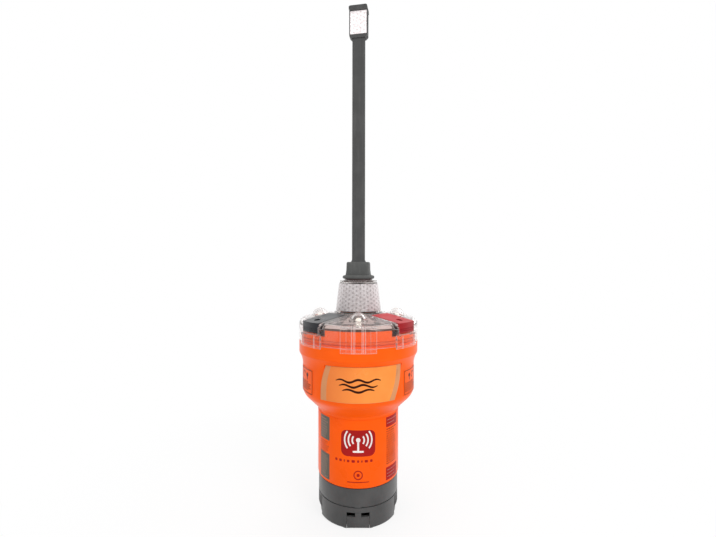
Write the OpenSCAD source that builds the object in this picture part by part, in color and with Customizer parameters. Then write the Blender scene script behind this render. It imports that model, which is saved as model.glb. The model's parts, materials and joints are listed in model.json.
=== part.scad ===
// Floating emergency position beacon with a folding whip antenna, on its flat base.
// Origin: centre of the base's underside. +Z is up and -Y is the front.

/* [Case] */
// Outer radius of the slim lower tube
tube_r = 33.5; // [33.3:0.1:33.7]
// Outer radius of the head
head_r = 46.6; // [46.4:0.1:46.8]
// Outer radius of the rim and of the dome's skirt
rim_r = 49.6; // [49.5:0.1:49.8]
// Wall thickness of the case
wall = 2.5; // [2.3:0.1:2.6]
// Height of the case's lower edge
case_z = 31.65; // [31.6:0.01:31.8]
// Height of the rim, where the dome starts
rim_z = 141.3; // [141.2:0.1:141.4]

/* [Base] */
// Outer radius of the battery cover and the base cap
base_r = 33.1; // [33:0.1:33.1]
// Height of the joint between cap and battery cover
cap_h = 17; // [17:0.1:17.1]
// Width of the lanyard flap
flap_w = 17.2; // [16:0.1:17.4]

/* [Dome] */
// Wall thickness of the dome
dome_wall = 2.5; // [2.4:0.1:2.6]
// Slope of the dome's top in degrees
dome_slope = 9.3; // [9.2:0.1:9.4]
// Outer radius of the tower's foot
tower_foot_r = 18.9; // [18.7:0.1:19.1]
// Outer radius of the tower's top
tower_top_r = 15.9; // [15.7:0.1:16.1]
// Height of the tower's top
tower_top_z = 188.6; // [188.5:0.1:188.7]
// Distance of the strobe lamps from the axis
lamp_pitch_r = 32.5; // [32:0.1:33]
// Radius of a small lamp dome
lamp_dome_r = 6.5; // [6.3:0.1:6.6]

/* [Slides] */
// Angle of each slide from the front
slide_angle = 50; // [49:1:51]
// Width of a slide
slide_w = 21; // [20:0.1:21.2]
// Thickness of a slide's plate
slide_t = 3; // [2.8:0.1:3]

/* [Whip] */
// Turn of the whip about the vertical
whip_turn = -10; // [-12:1:0]
// Width of the strip
whip_w = 11; // [10.4:0.1:11.2]
// Thickness of the strip
whip_t = 3.8; // [3.4:0.1:4]
// Height of the lowest bending point
bend_z = 208.5; // [208.3:0.1:208.8]
// Distance between bending points
bend_pitch = 32.5; // [32:0.1:34]
// Overall height
total_h = 421; // [415:1:430]
// Height of the whip's wide end
tip_h = 26; // [24:0.5:27]
// Width of the whip's wide end
tip_w = 15.6; // [15:0.1:16]

/* [Battery] */
// Radius of a cell
cell_r = 13.1; // [13:0.05:13.1]
// Length of a cell
cell_h = 50; // [49:0.1:50.2]

/* [Hidden] */
$fn = 96;
gap = 0.1;

front_az = -90;
red_az = front_az + slide_angle;
black_az = front_az - slide_angle;
lamp_azimuths = [front_az, 0, 90, 180];

// case heights
neck_start_z = 84;
neck_blend_r = 4;
cone_angle = 45;
shoulder_r = 10;
flare_z = 121.5;
flare_r = 19;
flare_angle = 31;
rim_edge_z = 132.6;
label_low_z = 101.2;
label_top_z = 127.6;
label_half_angle = 44;
collar_r = 46;
collar_top_z = 153.5;
collar_in_r = 43.5;
seal_z = 144.5;
seal_wire_r = 1.2;

// inner cone of the case, kept parallel to the outer one
tube_in_r = tube_r - wall;
head_in_r = head_r - wall;
inner_cone_z = 86.7;
inner_cone_top_z = inner_cone_z + (head_in_r - tube_in_r) * tan(90 - cone_angle);

// dome heights
dome_z = rim_z + gap;
dome_corner_r = 4;
dome_corner_z = 155.3;
lamp_dome_z = 160.1;
pad_top_z = 158.3;
pad_low_z = 138.2;
side_pad_low_z = 139.8;
dome_edge_r = rim_r - dome_corner_r + dome_corner_r * sin(dome_slope);
dome_edge_z = dome_corner_z + dome_corner_r * cos(dome_slope);
skirt_in_r = rim_r - dome_wall;
stud_hole_r = 4.1;
tower_wall = 2.5;
roof_in_r = 45.2;

// slide channel, in a frame that starts at the dome's top edge and lies along its slope
channel_w = slide_w + 0.3;
channel_d = slide_t + gap;
channel_floor_z = 150.3;
channel_in_x = -24.5;
key_w = 0.8;
key_t = 1;
lip_face_r = 49.5;
lip_t = 2.9;
lip_w = slide_w - 0.6;
lip_z = 151.1;
pad_w = 26.6;
pad_r = 51;
side_pad_r = 50.6;
magnet_r = 2.5;
magnet_t = 1.5;
magnet_x = -11;

// frame and board
board_z = 141;
board_t = 1.6;
board_top_z = board_z + board_t;
board_r = 41;
frame_screw_r = 38;
frame_screw_azimuths = [45, 135, -68, -112];
frame_post_r = 3.9;
frame_top_gap = 0.7;
frame_t = 2;
lamp_well_r = 7.2;
screw_r = 1.5;
screw_clear = 0.1;
screw_head_r = 2.8;
screw_head_h = 2;

// battery bay
cover_floor_z = 22;
cover_floor_t = 2.5;
base_seal_z = 36;
vent_r = 1.3;
boss_z = 42;
boss_h = 16;
cover_post_r = 25.2;
boss_r = 3.4;
base_screw_azimuths = [30, 150, 270];
tray_z = 25;
cell_z = 28;
cell_pitch_r = 15.2;
cell_azimuths = [90, 210, 330];
clamp_z = cell_z + cell_h + 0.2;

// base cap
cap_wall = 2.4;
foot_r = 1.3;
foot_z = 5.5;
cap_in_r = base_r - cap_wall;
flap_hinge_z = 3;
flap_hinge_y = -(base_r - 3);
flap_pin_r = 0.7;
flap_pin_l = 21.2;
window_d = 6.2;
flap_top_z = 9.5;
flap_tongue_w = 4.6;
window_w = flap_w + 0.4;
window_top_z = 12.8;
lanyard_r = 1.4;
spool_r = 12;
spool_z = 2.5;

// whip
flange_r = 13.4;
flange_z = 191.6;
flange_h = 2.1;
boot_z = 194.3;
boot_h = 11.2;
boot_w = 19.2;
boot_d = 11;
link_count = 2;
whip_r = whip_t / 2;
blade_z = bend_z + link_count * bend_pitch;
tip_z = total_h - tip_h;
tip_d = 6;
tip_hook = 2.4;
strip_w = 5;
strip_t = 0.8;

function arc_points(r, z, radius, from, to, steps) =
    [for (i = [0 : steps])
        let (a = from + (to - from) * i / steps)
        [r + radius * cos(a), z + radius * sin(a)]];
function tower_r(z) = tower_foot_r - (z - roof_z(tower_foot_r)) * (tower_foot_r - tower_top_r)
    / (tower_top_z - roof_z(tower_foot_r));
function roof_z(r) = dome_edge_z + (dome_edge_r - r) * tan(dome_slope);

// placement helpers
module at_azimuth(az, r = 0, z = 0) {
    rotate([0, 0, az]) translate([r, 0, z]) children();
}

// the slide frame: x runs outward and down along the roof, z stands square to it
module on_roof(az) {
    rotate([0, 0, az]) translate([dome_edge_r, 0, dome_edge_z]) rotate([0, dome_slope, 0]) children();
}

module box(x0, x1, w, z0, z1) {
    translate([x0, -w / 2, z0]) cube([x1 - x0, w, z1 - z0]);
}

module tube(r_out, r_in, z0, z1) {
    translate([0, 0, z0]) difference() {
        cylinder(h = z1 - z0, r = r_out);
        translate([0, 0, -1]) cylinder(h = z1 - z0 + 2, r = r_in);
    }
}

module ring(r, z, wire_r) {
    translate([0, 0, z]) rotate_extrude() translate([r, 0]) circle(r = wire_r, $fn = 32);
}

module screw(r, az, head_z, length, up) {
    at_azimuth(az, r, head_z) mirror([0, 0, up ? 0 : 1]) {
        cylinder(h = length, r = screw_r, $fn = 32);
        difference() {
            translate([0, 0, -screw_head_h]) cylinder(h = screw_head_h, r = screw_head_r, $fn = 32);
            translate([0, 0, -screw_head_h - 1]) cylinder(h = 1 + screw_head_h / 2, r = 1.2, $fn = 6);
        }
    }
}

// ---------- case ----------

module case_outline() {
    blend_end_r = tube_r + neck_blend_r * (1 - cos(cone_angle));
    blend_end_z = neck_start_z + neck_blend_r * sin(cone_angle);
    cone_end_r = head_r - shoulder_r * (1 - cos(cone_angle));
    cone_end_z = blend_end_z + (cone_end_r - blend_end_r) * tan(90 - cone_angle);
    shoulder_z = cone_end_z + shoulder_r * sin(cone_angle);
    polygon(concat(
        [[tube_in_r, case_z], [tube_r, case_z]],
        arc_points(tube_r + neck_blend_r, neck_start_z, neck_blend_r, 180, 180 - cone_angle, 6),
        arc_points(head_r - shoulder_r, shoulder_z, shoulder_r, -cone_angle, 0, 6),
        arc_points(head_r + flare_r, flare_z, flare_r, 180, 180 - flare_angle, 5),
        [[rim_r, rim_edge_z], [rim_r, rim_z], [collar_r, rim_z], [collar_r, seal_z - 1.4],
         [collar_r - 1.5, seal_z - 1.4], [collar_r - 1.5, seal_z + 1.4], [collar_r, seal_z + 1.4],
         [collar_r, collar_top_z], [collar_in_r, collar_top_z], [collar_in_r, flare_z + 4],
         [head_in_r, flare_z + 2], [head_in_r, inner_cone_top_z], [tube_in_r, inner_cone_z]]
    ));
}

module main_case() {
    color("orangered") difference() {
        union() {
            rotate_extrude() case_outline();
            // bosses for the battery cover's screws, webbed to the tube's wall
            for (az = base_screw_azimuths) at_azimuth(az) {
                translate([cover_post_r, 0, boss_z]) cylinder(h = boss_h, r = boss_r);
                box(cover_post_r, tube_r - 1, 4, boss_z, boss_z + boss_h);
            }
            // bosses that carry the board
            for (az = frame_screw_azimuths) at_azimuth(az) {
                translate([frame_screw_r, 0, 116]) cylinder(h = board_z - 116, r = 3.2);
                box(frame_screw_r, collar_in_r + 1, 4, 116, board_z);
            }
        }
        for (az = base_screw_azimuths)
            at_azimuth(az, cover_post_r, boss_z - 1) cylinder(h = boss_h - 1, r = screw_r + screw_clear);
        for (az = frame_screw_azimuths)
            at_azimuth(az, frame_screw_r, 119) cylinder(h = 30, r = screw_r + screw_clear);
        // the collar is cut away under the slides
        for (az = [red_az, black_az]) at_azimuth(az) box(40, rim_r, pad_w + 1, 148.6, 160);
        // flat bed for the head label, cut back into the flare
        intersection() {
            tube(rim_r + 1, head_r, label_low_z, label_top_z + 0.4);
            front_wedge(label_half_angle + 0.5);
        }
        // holes for the water contacts, at the back
        for (x = [-6, 6]) translate([x, head_r - 4, 112]) rotate([-90, 0, 0]) cylinder(h = 10, r = 1.6);
    }
}

// wedge about the axis, open towards the front, with half its opening angle given
module front_wedge(half_angle) {
    reach = 80;
    linear_extrude(height = total_h) polygon([
        [0, 0],
        [-reach * sin(half_angle), -reach * cos(half_angle)],
        [reach * sin(half_angle), -reach * cos(half_angle)]
    ]);
}

module head_label() {
    color("sandybrown") intersection() {
        tube(head_r + 0.35, head_r + 0.03, label_low_z, label_top_z);
        front_wedge(label_half_angle);
    }
}

module side_labels() {
    color("darkorange") intersection() {
        tube(head_r + 0.33, head_r + 0.03, label_low_z + 0.3, flare_z);
        for (side = [-1, 1]) rotate([0, 0, side * 63]) front_wedge(14.5);
    }
}

module body_label() {
    color("orange") difference() {
        tube(tube_r + 0.3, tube_r + 0.03, 33.2, neck_start_z - 0.3);
        rotate([0, 0, 90]) box(0, tube_r + 2, 1, 30, neck_start_z);
    }
}

module water_contacts() {
    color("silver") for (x = [-6, 6]) translate([x, head_r - 3.5, 112]) rotate([-90, 0, 0]) {
        cylinder(h = 4, r = 1.5);
        translate([0, 0, 3.5]) cylinder(h = 1, r = 2.6);
    }
}

// ---------- base ----------

module battery_cover() {
    color("dimgray") difference() {
        union() {
            tube(base_r, base_r - 2.7, cap_h + gap, case_z - 0.3);
            tube(tube_in_r - 0.15, tube_in_r - 2.4, cover_floor_z, 39.5);
            translate([0, 0, cover_floor_z]) cylinder(h = cover_floor_t, r = base_r - 1);
            for (az = base_screw_azimuths)
                at_azimuth(az, cover_post_r, cover_floor_z)
                    cylinder(h = boss_z - cover_floor_z - gap, r = boss_r - 0.4);
            // index tooth that fits the cap's notch
            rotate([0, 0, front_az]) box(base_r - 2.4, base_r - 0.1, 5, cap_h - 0.5, cap_h + 1);
        }
        // groove for the sealing ring
        tube(tube_in_r, tube_in_r - 1.6, base_seal_z - 1.2, base_seal_z + 1.2);
        for (az = base_screw_azimuths)
            at_azimuth(az, cover_post_r, 20) cylinder(h = 30, r = screw_r + screw_clear);
        translate([0, 0, cover_floor_z - 1]) cylinder(h = 10, r = vent_r);
    }
}

module base_seal() {
    color("black") ring(tube_in_r - 0.7, base_seal_z, 0.65);
}

module base_screws() {
    color("silver") for (az = base_screw_azimuths) screw(cover_post_r, az, cover_floor_z, 32, true);
}

module base_cap() {
    color("dimgray") difference() {
        union() {
            rotate_extrude() polygon(concat(
                [[0, 0]], arc_points(base_r - foot_r, foot_r, foot_r, -90, 0, 4),
                [[base_r, cap_h], [base_r - 2.9, cap_h], [base_r - 2.9, cap_h + 4],
                 [cap_in_r - 1.5, cap_h + 4], [cap_in_r - 1.5, cap_h - 1], [cap_in_r, cap_h - 2.5],
                 [cap_in_r, cap_wall], [0, cap_wall]]
            ));
            // hinge ears beside the flap
            for (side = [-1, 1]) intersection() {
                translate([side * (window_w / 2 + 1.3), 0, 0]) box_centred(2.6, 60, 0, foot_z);
                translate([0, -base_r + 4, 0]) box_centred(40, 7.9, 0, foot_z);
                cylinder(h = 20, r = base_r - 0.5);
            }
        }
        // window for the flap and its two finger slots
        translate([-window_w / 2, -base_r - 1, -1]) cube([window_w, window_d + 1, window_top_z + 1]);
        // pin holes
        translate([-flap_pin_l / 2 - 0.2, flap_hinge_y, flap_hinge_z]) rotate([0, 90, 0])
            cylinder(h = flap_pin_l + 0.4, r = flap_pin_r + 0.04);
        // index notch at the front
        rotate([0, 0, front_az]) box(base_r - 2.7, base_r + 1, 5.5, cap_h - 0.8, cap_h + 1);
        // grip scallops at the sides
        for (side = [0, 180]) rotate([0, 0, side]) difference() {
            rotate_extrude() polygon([
                [base_r - 1.7, -1], [base_r - 1.7, foot_z], [base_r + 1, 8], [base_r + 1, -1]
            ]);
            rotate([0, 0, 180]) box(-28, 40, 90, -2, 20);
            for (cut = [-1, 1]) rotate([0, 0, cut * 28]) translate([0, cut * 40, 0]) box(0, 60, 80, -2, 20);
        }
        // drain holes
        for (az = [30, 150, 210, 330]) at_azimuth(az, 22, -1) cylinder(h = 5, r = 1.5);
    }
}

module box_centred(w, d, z0, z1) {
    translate([-w / 2, -d / 2, z0]) cube([w, d, z1 - z0]);
}

module lanyard_flap() {
    barrel_r = flap_hinge_z - 0.02;
    color("dimgray") difference() {
        intersection() {
            union() {
                translate([-flap_w / 2, -base_r, flap_hinge_z])
                    cube([flap_w, 2.5, flap_top_z - flap_hinge_z]);
                translate([-flap_w / 2, flap_hinge_y, flap_hinge_z]) rotate([0, 90, 0])
                    cylinder(h = flap_w, r = barrel_r);
                translate([-flap_tongue_w / 2, -base_r, flap_top_z - 1])
                    cube([flap_tongue_w, 2, window_top_z - flap_top_z + 0.85]);
            }
            cylinder(h = 20, r = base_r);
        }
        translate([-flap_w, flap_hinge_y, flap_hinge_z]) rotate([0, 90, 0])
            cylinder(h = 2 * flap_w, r = flap_pin_r + 0.05);
    }
}

module flap_pin() {
    color("silver") translate([-flap_pin_l / 2, flap_hinge_y, flap_hinge_z]) rotate([0, 90, 0])
        cylinder(h = flap_pin_l, r = flap_pin_r);
}

module lanyard_spool() {
    color("gray") {
        translate([0, 0, spool_z]) cylinder(h = 1.2, r = 2 * spool_r);
        tube(spool_r, spool_r - 2.5, spool_z + 1.1, 15);
        tube(2 * spool_r, spool_r - 2.5, 14.9, 16);
    }
}

module lanyard() {
    color([0.12, 0.12, 0.13]) for (layer = [0 : 2]) for (turn = [0 : 3])
        ring(spool_r + gap + lanyard_r + turn * (2 * lanyard_r + 0.05),
             spool_z + 2.8 + layer * (2 * lanyard_r + 0.35), lanyard_r);
}

// ---------- dome ----------

// thick pad on the dome's skirt, which hangs a little over the rim of the case
module pad(az, r, low_z, top_z, ribbed) {
    corner = 3;
    intersection() {
        rotate_extrude() polygon(concat(
            [[roof_in_r, dome_z], [rim_r + gap, dome_z], [rim_r + gap, low_z], [r, low_z]],
            arc_points(r - corner, top_z - corner, corner, 0, 90, 4),
            [[roof_in_r, top_z]]
        ));
        rotate([0, 0, az]) difference() {
            box(roof_in_r - 1, r + 1, pad_w, low_z - 1, top_z + 1);
            if (ribbed) for (y = [-9.6, -4.4, 4.4, 9.6, 0])
                translate([0, y, 0])
                    box(r - 0.9, r + 1, y == 0 ? 5.2 : 1.4, low_z - 1, top_z + 1);
        }
    }
}

module dome_outline_outer() {
    polygon(concat(
        [[0, dome_z], [rim_r, dome_z]],
        arc_points(rim_r - dome_corner_r, dome_corner_z, dome_corner_r, 0, 90 - dome_slope, 8),
        [[tower_foot_r + 1.5, roof_z(tower_foot_r + 1.5)], [tower_foot_r - 0.1, roof_z(tower_foot_r) + 1.2],
         [tower_top_r, tower_top_z - 0.4], [tower_top_r - 0.4, tower_top_z], [0, tower_top_z]]
    ));
}

module dome_cavity() {
    rotate_extrude() polygon([
        [0, dome_z - 1], [skirt_in_r, dome_z - 1], [skirt_in_r, 155.2],
        [roof_in_r, roof_z(roof_in_r) - dome_wall],
        [tower_foot_r - tower_wall, roof_z(tower_foot_r) - dome_wall],
        [tower_top_r - tower_wall, tower_top_z - tower_wall], [0, tower_top_z - tower_wall]
    ]);
}

// room that a slide's channel and the wall below it take from the space under the dome
module channel_wall(az, grow) {
    on_roof(az) box(channel_in_x - 2 - grow, 20, channel_w + 4 + 2 * grow, -channel_d - 1.8 - grow, 20);
    at_azimuth(az) box(44.2 - grow, 60, channel_w + 4.4 + 2 * grow, 149, 165);
}

module dome() {
    color([0.85, 0.82, 0.8, 0.45]) difference() {
        union() {
            rotate_extrude() dome_outline_outer();
            for (az = lamp_azimuths) at_azimuth(az, lamp_pitch_r, lamp_dome_z) sphere(r = lamp_dome_r);
            pad(front_az, pad_r, pad_low_z, pad_top_z, true);
            pad(-front_az, pad_r, pad_low_z, pad_top_z, true);
            for (az = [red_az, black_az]) pad(az, side_pad_r, side_pad_low_z, channel_floor_z - 0.1, false);
        }
        difference() {
            union() {
                dome_cavity();
                for (az = lamp_azimuths)
                    at_azimuth(az, lamp_pitch_r, lamp_dome_z) sphere(r = lamp_dome_r - 1.8);
            }
            for (az = [red_az, black_az]) channel_wall(az, 0);
        }
        for (az = [red_az, black_az]) {
            on_roof(az) {
                box(channel_in_x, 30, channel_w, -channel_d, 10);
                box(channel_in_x, 12, channel_w + 2 * key_w, -channel_d, -channel_d + key_t + 0.3);
            }
            at_azimuth(az) box(rim_r - lip_t - 0.25, 60, lip_w + 0.3, channel_floor_z, 170);
        }
        translate([0, 0, tower_top_z - 10]) cylinder(h = 20, r = stud_hole_r);
    }
}

module dome_seal() {
    color("black") ring(collar_r - 1.5 + seal_wire_r + 0.05, seal_z, seal_wire_r);
}

module tower_tape() {
    low = roof_z(tower_foot_r) + 1.6;
    high = tower_top_z - 1.2;
    color("gainsboro") rotate_extrude() polygon([
        [tower_r(low) + 0.08, low], [tower_r(low) + 0.42, low],
        [tower_r(high) + 0.42, high], [tower_r(high) + 0.08, high]
    ]);
}

module slide(az) {
    plate_in_x = channel_in_x + 0.4;
    difference() {
        intersection() {
            union() {
                on_roof(az) {
                    box(plate_in_x, 6, slide_w, -slide_t, 0);
                    box(plate_in_x, -2.2, slide_w + 2 * key_w - 0.3, -slide_t, -slide_t + key_t);
                }
                at_azimuth(az) box(rim_r - lip_t, 55, lip_w, lip_z, 158.6);
            }
            cylinder(h = 200, r = lip_face_r);
            on_roof(az) box(-30, 20, 40, -20, 0);
        }
        // finger hole
        on_roof(az) translate([-4.4, 0, -1.7]) cylinder(h = 5, r = 2.6);
        // magnet pocket
        on_roof(az) translate([magnet_x, 0, -slide_t - 1])
            cylinder(h = 1 + magnet_t + 0.15, r = magnet_r + 0.1);
        // grip ridges on the lip
        for (z = [152.4 : 1.5 : 155]) at_azimuth(az) difference() {
            box(rim_r - 2, 55, lip_w - 3, z, z + 0.6);
            rotate([0, 0, -az]) cylinder(h = 400, r = lip_face_r - 0.5, center = true);
        }
    }
}

module activation_slide() {
    color("crimson") slide(red_az);
}

module test_slide() {
    color([0.15, 0.16, 0.18]) difference() {
        slide(black_az);
        // groove over the return spring, open at its inner end
        on_roof(black_az) translate([0, 6.5, 0]) box(channel_in_x - 1, -7, 3, -slide_t - 1, -slide_t + 2);
    }
}

module slide_magnet(az) {
    color("silver") on_roof(az) translate([magnet_x, 0, -slide_t + 0.05])
        cylinder(h = magnet_t, r = magnet_r);
}

module activation_magnet() {
    slide_magnet(red_az);
}

module test_magnet() {
    slide_magnet(black_az);
}

module return_spring() {
    turns = 7;
    length = 12;
    color("silver") on_roof(black_az) translate([-20, 6.5, -slide_t + 0.95]) rotate([0, 90, 0])
        linear_extrude(height = length, twist = -360 * turns, slices = 8 * turns, $fn = 6)
            translate([0.6, 0]) circle(r = 0.3);
}

module inner_frame() {
    top = -dome_wall - frame_top_gap;
    color("slategray") difference() {
        union() {
            difference() {
                rotate_extrude() polygon([
                    [16.5, roof_z(16.5) + top], [44.2, roof_z(44.2) + top],
                    [45.8, 155.4], [45.8, collar_top_z + gap], [43.8, collar_top_z + gap],
                    [42.6, roof_z(42.6) + top - frame_t],
                    [16.5, roof_z(16.5) + top - frame_t]
                ]);
                for (az = [red_az, black_az]) channel_wall(az, 0.6);
                for (az = lamp_azimuths) at_azimuth(az, lamp_pitch_r, 140) cylinder(h = 40, r = lamp_well_r);
            }
            // wells that hold the lamps
            for (az = lamp_azimuths) at_azimuth(az, lamp_pitch_r, 152) difference() {
                cylinder(h = 4.9, r = lamp_well_r + 0.9);
                translate([0, 0, 1.2]) cylinder(h = 10, r = lamp_well_r - 0.7);
            }
            // posts that stand on the board
            for (az = frame_screw_azimuths) at_azimuth(az, frame_screw_r, board_top_z + gap)
                cylinder(h = roof_z(frame_screw_r) + top - 1.2 - board_top_z - gap, r = frame_post_r);
        }
        for (az = frame_screw_azimuths) at_azimuth(az, frame_screw_r, 0) {
            translate([0, 0, 130]) cylinder(h = 40, r = screw_r + screw_clear);
            translate([0, 0, 153]) cylinder(h = 10, r = screw_head_r + 0.2);
        }
    }
}

module frame_screws() {
    color("silver") for (az = frame_screw_azimuths) screw(frame_screw_r, az, 153, 32, false);
}

module strobe_leds() {
    color("lightyellow") for (az = lamp_azimuths) at_azimuth(az, lamp_pitch_r, 153.3) {
        translate([-3.5, -3.5, 0]) cube([7, 7, 1.2]);
        translate([0, 0, 1.1]) cylinder(h = 5.4, r = 2.4);
        translate([0, 0, 6.5]) sphere(r = 2.4);
    }
}

module reed_switches() {
    color("lightgreen") for (az = [red_az, black_az]) at_azimuth(az, 33, board_top_z + 3) {
        translate([-7, 0, 0]) rotate([0, 90, 0]) cylinder(h = 14, r = 1.1, $fn = 24);
        for (x = [-8, 7]) translate([x, -0.3, -3]) cube([1, 0.6, 3.3]);
    }
}

module main_board() {
    color("darkgreen") difference() {
        translate([0, 0, board_z]) cylinder(h = board_t, r = board_r);
        for (az = frame_screw_azimuths)
            at_azimuth(az, frame_screw_r, board_z - 1) cylinder(h = board_t + 2, r = screw_r + screw_clear);
    }
}

module shield_can() {
    color("silver") translate([-14, -22, board_top_z]) difference() {
        cube([28, 22, 4]);
        translate([0.5, 0.5, -1]) cube([27, 21, 4.6]);
    }
}

module position_antenna() {
    color("wheat") at_azimuth(135, 23.5, board_top_z) {
        translate([-10, -10, 0]) cube([20, 20, 4]);
        translate([-8.5, -8.5, 4]) cube([17, 17, 0.15]);
    }
}

module sounder() {
    color([0.1, 0.1, 0.1]) at_azimuth(35, 27, board_top_z) difference() {
        cylinder(h = 6, r = 6);
        translate([0, 0, 5]) cylinder(h = 2, r = 1);
    }
}

// ---------- battery ----------

module battery_cells() {
    color("steelblue") for (az = cell_azimuths) at_azimuth(az, cell_pitch_r, cell_z) {
        cylinder(h = cell_h - 1.5, r = cell_r);
        cylinder(h = cell_h, r = 3.5);
    }
}

module battery_tray() {
    color("gray") difference() {
        translate([0, 0, tray_z]) cylinder(h = 7, r = 27.6);
        for (az = cell_azimuths) at_azimuth(az, cell_pitch_r, cell_z) cylinder(h = 10, r = cell_r + 0.1);
        for (az = base_screw_azimuths) at_azimuth(az, cover_post_r, 20) cylinder(h = 30, r = boss_r + 0.2);
        translate([0, 0, tray_z - 1]) cylinder(h = 10, r = 1.3);
    }
}

module battery_clamp() {
    color("gray") difference() {
        translate([0, 0, clamp_z - 4]) cylinder(h = 6, r = 29.5);
        for (az = cell_azimuths) at_azimuth(az, cell_pitch_r, clamp_z - 5) cylinder(h = 5, r = cell_r + 0.1);
        translate([0, 0, clamp_z - 5]) cylinder(h = 10, r = 1.3);
    }
}

module battery_lead() {
    color("red") for (y = [-1, 1]) translate([0, y, clamp_z + 2.2]) {
        cylinder(h = board_z - clamp_z - 4, r = 0.7, $fn = 24);
    }
    color("white") translate([-3, -2.6, board_z - 1.7]) cube([6, 5.2, 1.6]);
}

// ---------- whip ----------

module strip_box(w, t, z0, z1) {
    rotate([0, 0, whip_turn]) box_centred(w, t, z0, z1);
}

module knuckle(z) {
    rotate([0, 0, whip_turn]) translate([-whip_w / 2, 0, z]) rotate([0, 90, 0])
        cylinder(h = whip_w, r = whip_r);
}

module antenna_base() {
    color([0.2, 0.19, 0.19]) {
        translate([0, 0, tower_top_z + 0.05]) cylinder(h = 1.4, r = 12.6);
        translate([0, 0, tower_top_z + 1.4]) cylinder(h = 1.5, r = 11.4);
        translate([0, 0, tower_top_z - 9]) cylinder(h = 10, r = 4);
    }
}

module antenna_seal() {
    color("black") ring(stud_hole_r + 1.2, tower_top_z - tower_wall - 0.95, 0.9);
}

module antenna_nut() {
    nut_z = tower_top_z - tower_wall - 5.1;
    color("goldenrod") difference() {
        translate([0, 0, nut_z]) cylinder(h = 3.2, r = 7.5, $fn = 6);
        translate([0, 0, nut_z - 1]) cylinder(h = 6, r = 4.05);
    }
}

module antenna_feed() {
    feed_z = board_top_z + 4.2;
    color("brown") translate([0, 0, feed_z]) cylinder(h = tower_top_z - 9.1 - feed_z, r = 1.1, $fn = 24);
}

module antenna_boot() {
    color([0.36, 0.37, 0.36]) {
        translate([0, 0, flange_z]) cylinder(h = flange_h, r = flange_r);
        translate([0, 0, flange_z + flange_h - 0.01])
            cylinder(h = 0.9, r1 = flange_r - 0.2, r2 = flange_r - 3);
        strip_box(boot_w, boot_d, boot_z, boot_z + boot_h - 1);
        strip_box(boot_w - 1.6, boot_d - 1.6, boot_z + 1, boot_z + boot_h);
        strip_box(whip_w, whip_t, boot_z + boot_h - 1, bend_z);
        knuckle(bend_z);
    }
}

module flex_link(index) {
    low = bend_z + (index - 1) * bend_pitch;
    color([0.34, 0.34, 0.34]) {
        strip_box(whip_w, whip_t, low + whip_r + gap, low + bend_pitch);
        knuckle(low + bend_pitch);
    }
}

module antenna_blade() {
    color([0.34, 0.34, 0.34]) difference() {
        strip_box(whip_w, whip_t, blade_z + whip_r + gap, tip_z + 6);
        strip_box(strip_w + 0.2, strip_t + 0.2, blade_z + whip_r + 4, tip_z + 7);
    }
}

module radiator_strip() {
    color("silver") strip_box(strip_w, strip_t, blade_z + whip_r + 4.2, tip_z + 5.8);
}

// corners cut at 45 degrees along the strip's thickness
module chamfered_plate(w, d, z0, z1, low, high) {
    rotate([0, 0, whip_turn]) translate([0, d / 2, 0]) rotate([90, 0, 0])
        linear_extrude(height = d) polygon([
        [-w / 2 + low, z0], [w / 2 - low, z0], [w / 2, z0 + low], [w / 2, z1 - high],
        [w / 2 - high, z1], [-w / 2 + high, z1], [-w / 2, z1 - high], [-w / 2, z0 + low]
    ]);
}

module tip_cap() {
    color([0.34, 0.34, 0.34]) difference() {
        union() {
            chamfered_plate(tip_w, tip_d, tip_z, total_h, 1.9, 0.6);
            // top lip that stands out in front and behind
            chamfered_plate(tip_w, tip_d + 2 * tip_hook, total_h - 3.4, total_h, 0.6, 0.8);
        }
        strip_box(whip_w + 0.1, whip_t + 0.1, tip_z - 1, tip_z + 6.1);
        // recesses for the tapes
        for (side = [-1, 1]) rotate([0, 0, whip_turn]) translate([0, side * (tip_d / 2), 0])
            box_centred(tip_w - 1.4, 0.8, tip_z + 3, total_h - 3.4);
    }
}

module tip_tapes() {
    color("gainsboro") for (side = [-1, 1])
        rotate([0, 0, whip_turn]) translate([0, side * (tip_d / 2 - 0.2), 0])
            box_centred(tip_w - 1.6, 0.34, tip_z + 3.1, total_h - 3.5);
}

main_case();
head_label();
side_labels();
body_label();
water_contacts();
battery_cover();
base_seal();
base_screws();
base_cap();
lanyard_flap();
flap_pin();
lanyard_spool();
lanyard();
dome();
dome_seal();
tower_tape();
activation_slide();
test_slide();
activation_magnet();
test_magnet();
return_spring();
inner_frame();
frame_screws();
strobe_leds();
reed_switches();
main_board();
shield_can();
position_antenna();
sounder();
battery_cells();
battery_tray();
battery_clamp();
battery_lead();
antenna_base();
antenna_seal();
antenna_nut();
antenna_feed();
antenna_boot();
flex_link(1);  // flex_link_1
flex_link(2);  // flex_link_2
antenna_blade();
radiator_strip();
tip_cap();
tip_tapes();
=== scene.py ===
"""Looks of the emergency position beacon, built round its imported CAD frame.

Shapes are drawn in millimetres and written to their meshes in metres. -Y is the front and +Z is up.
"""
import json
import math

import bmesh
import bpy
import numpy as np
from mathutils import Matrix, Vector


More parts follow.
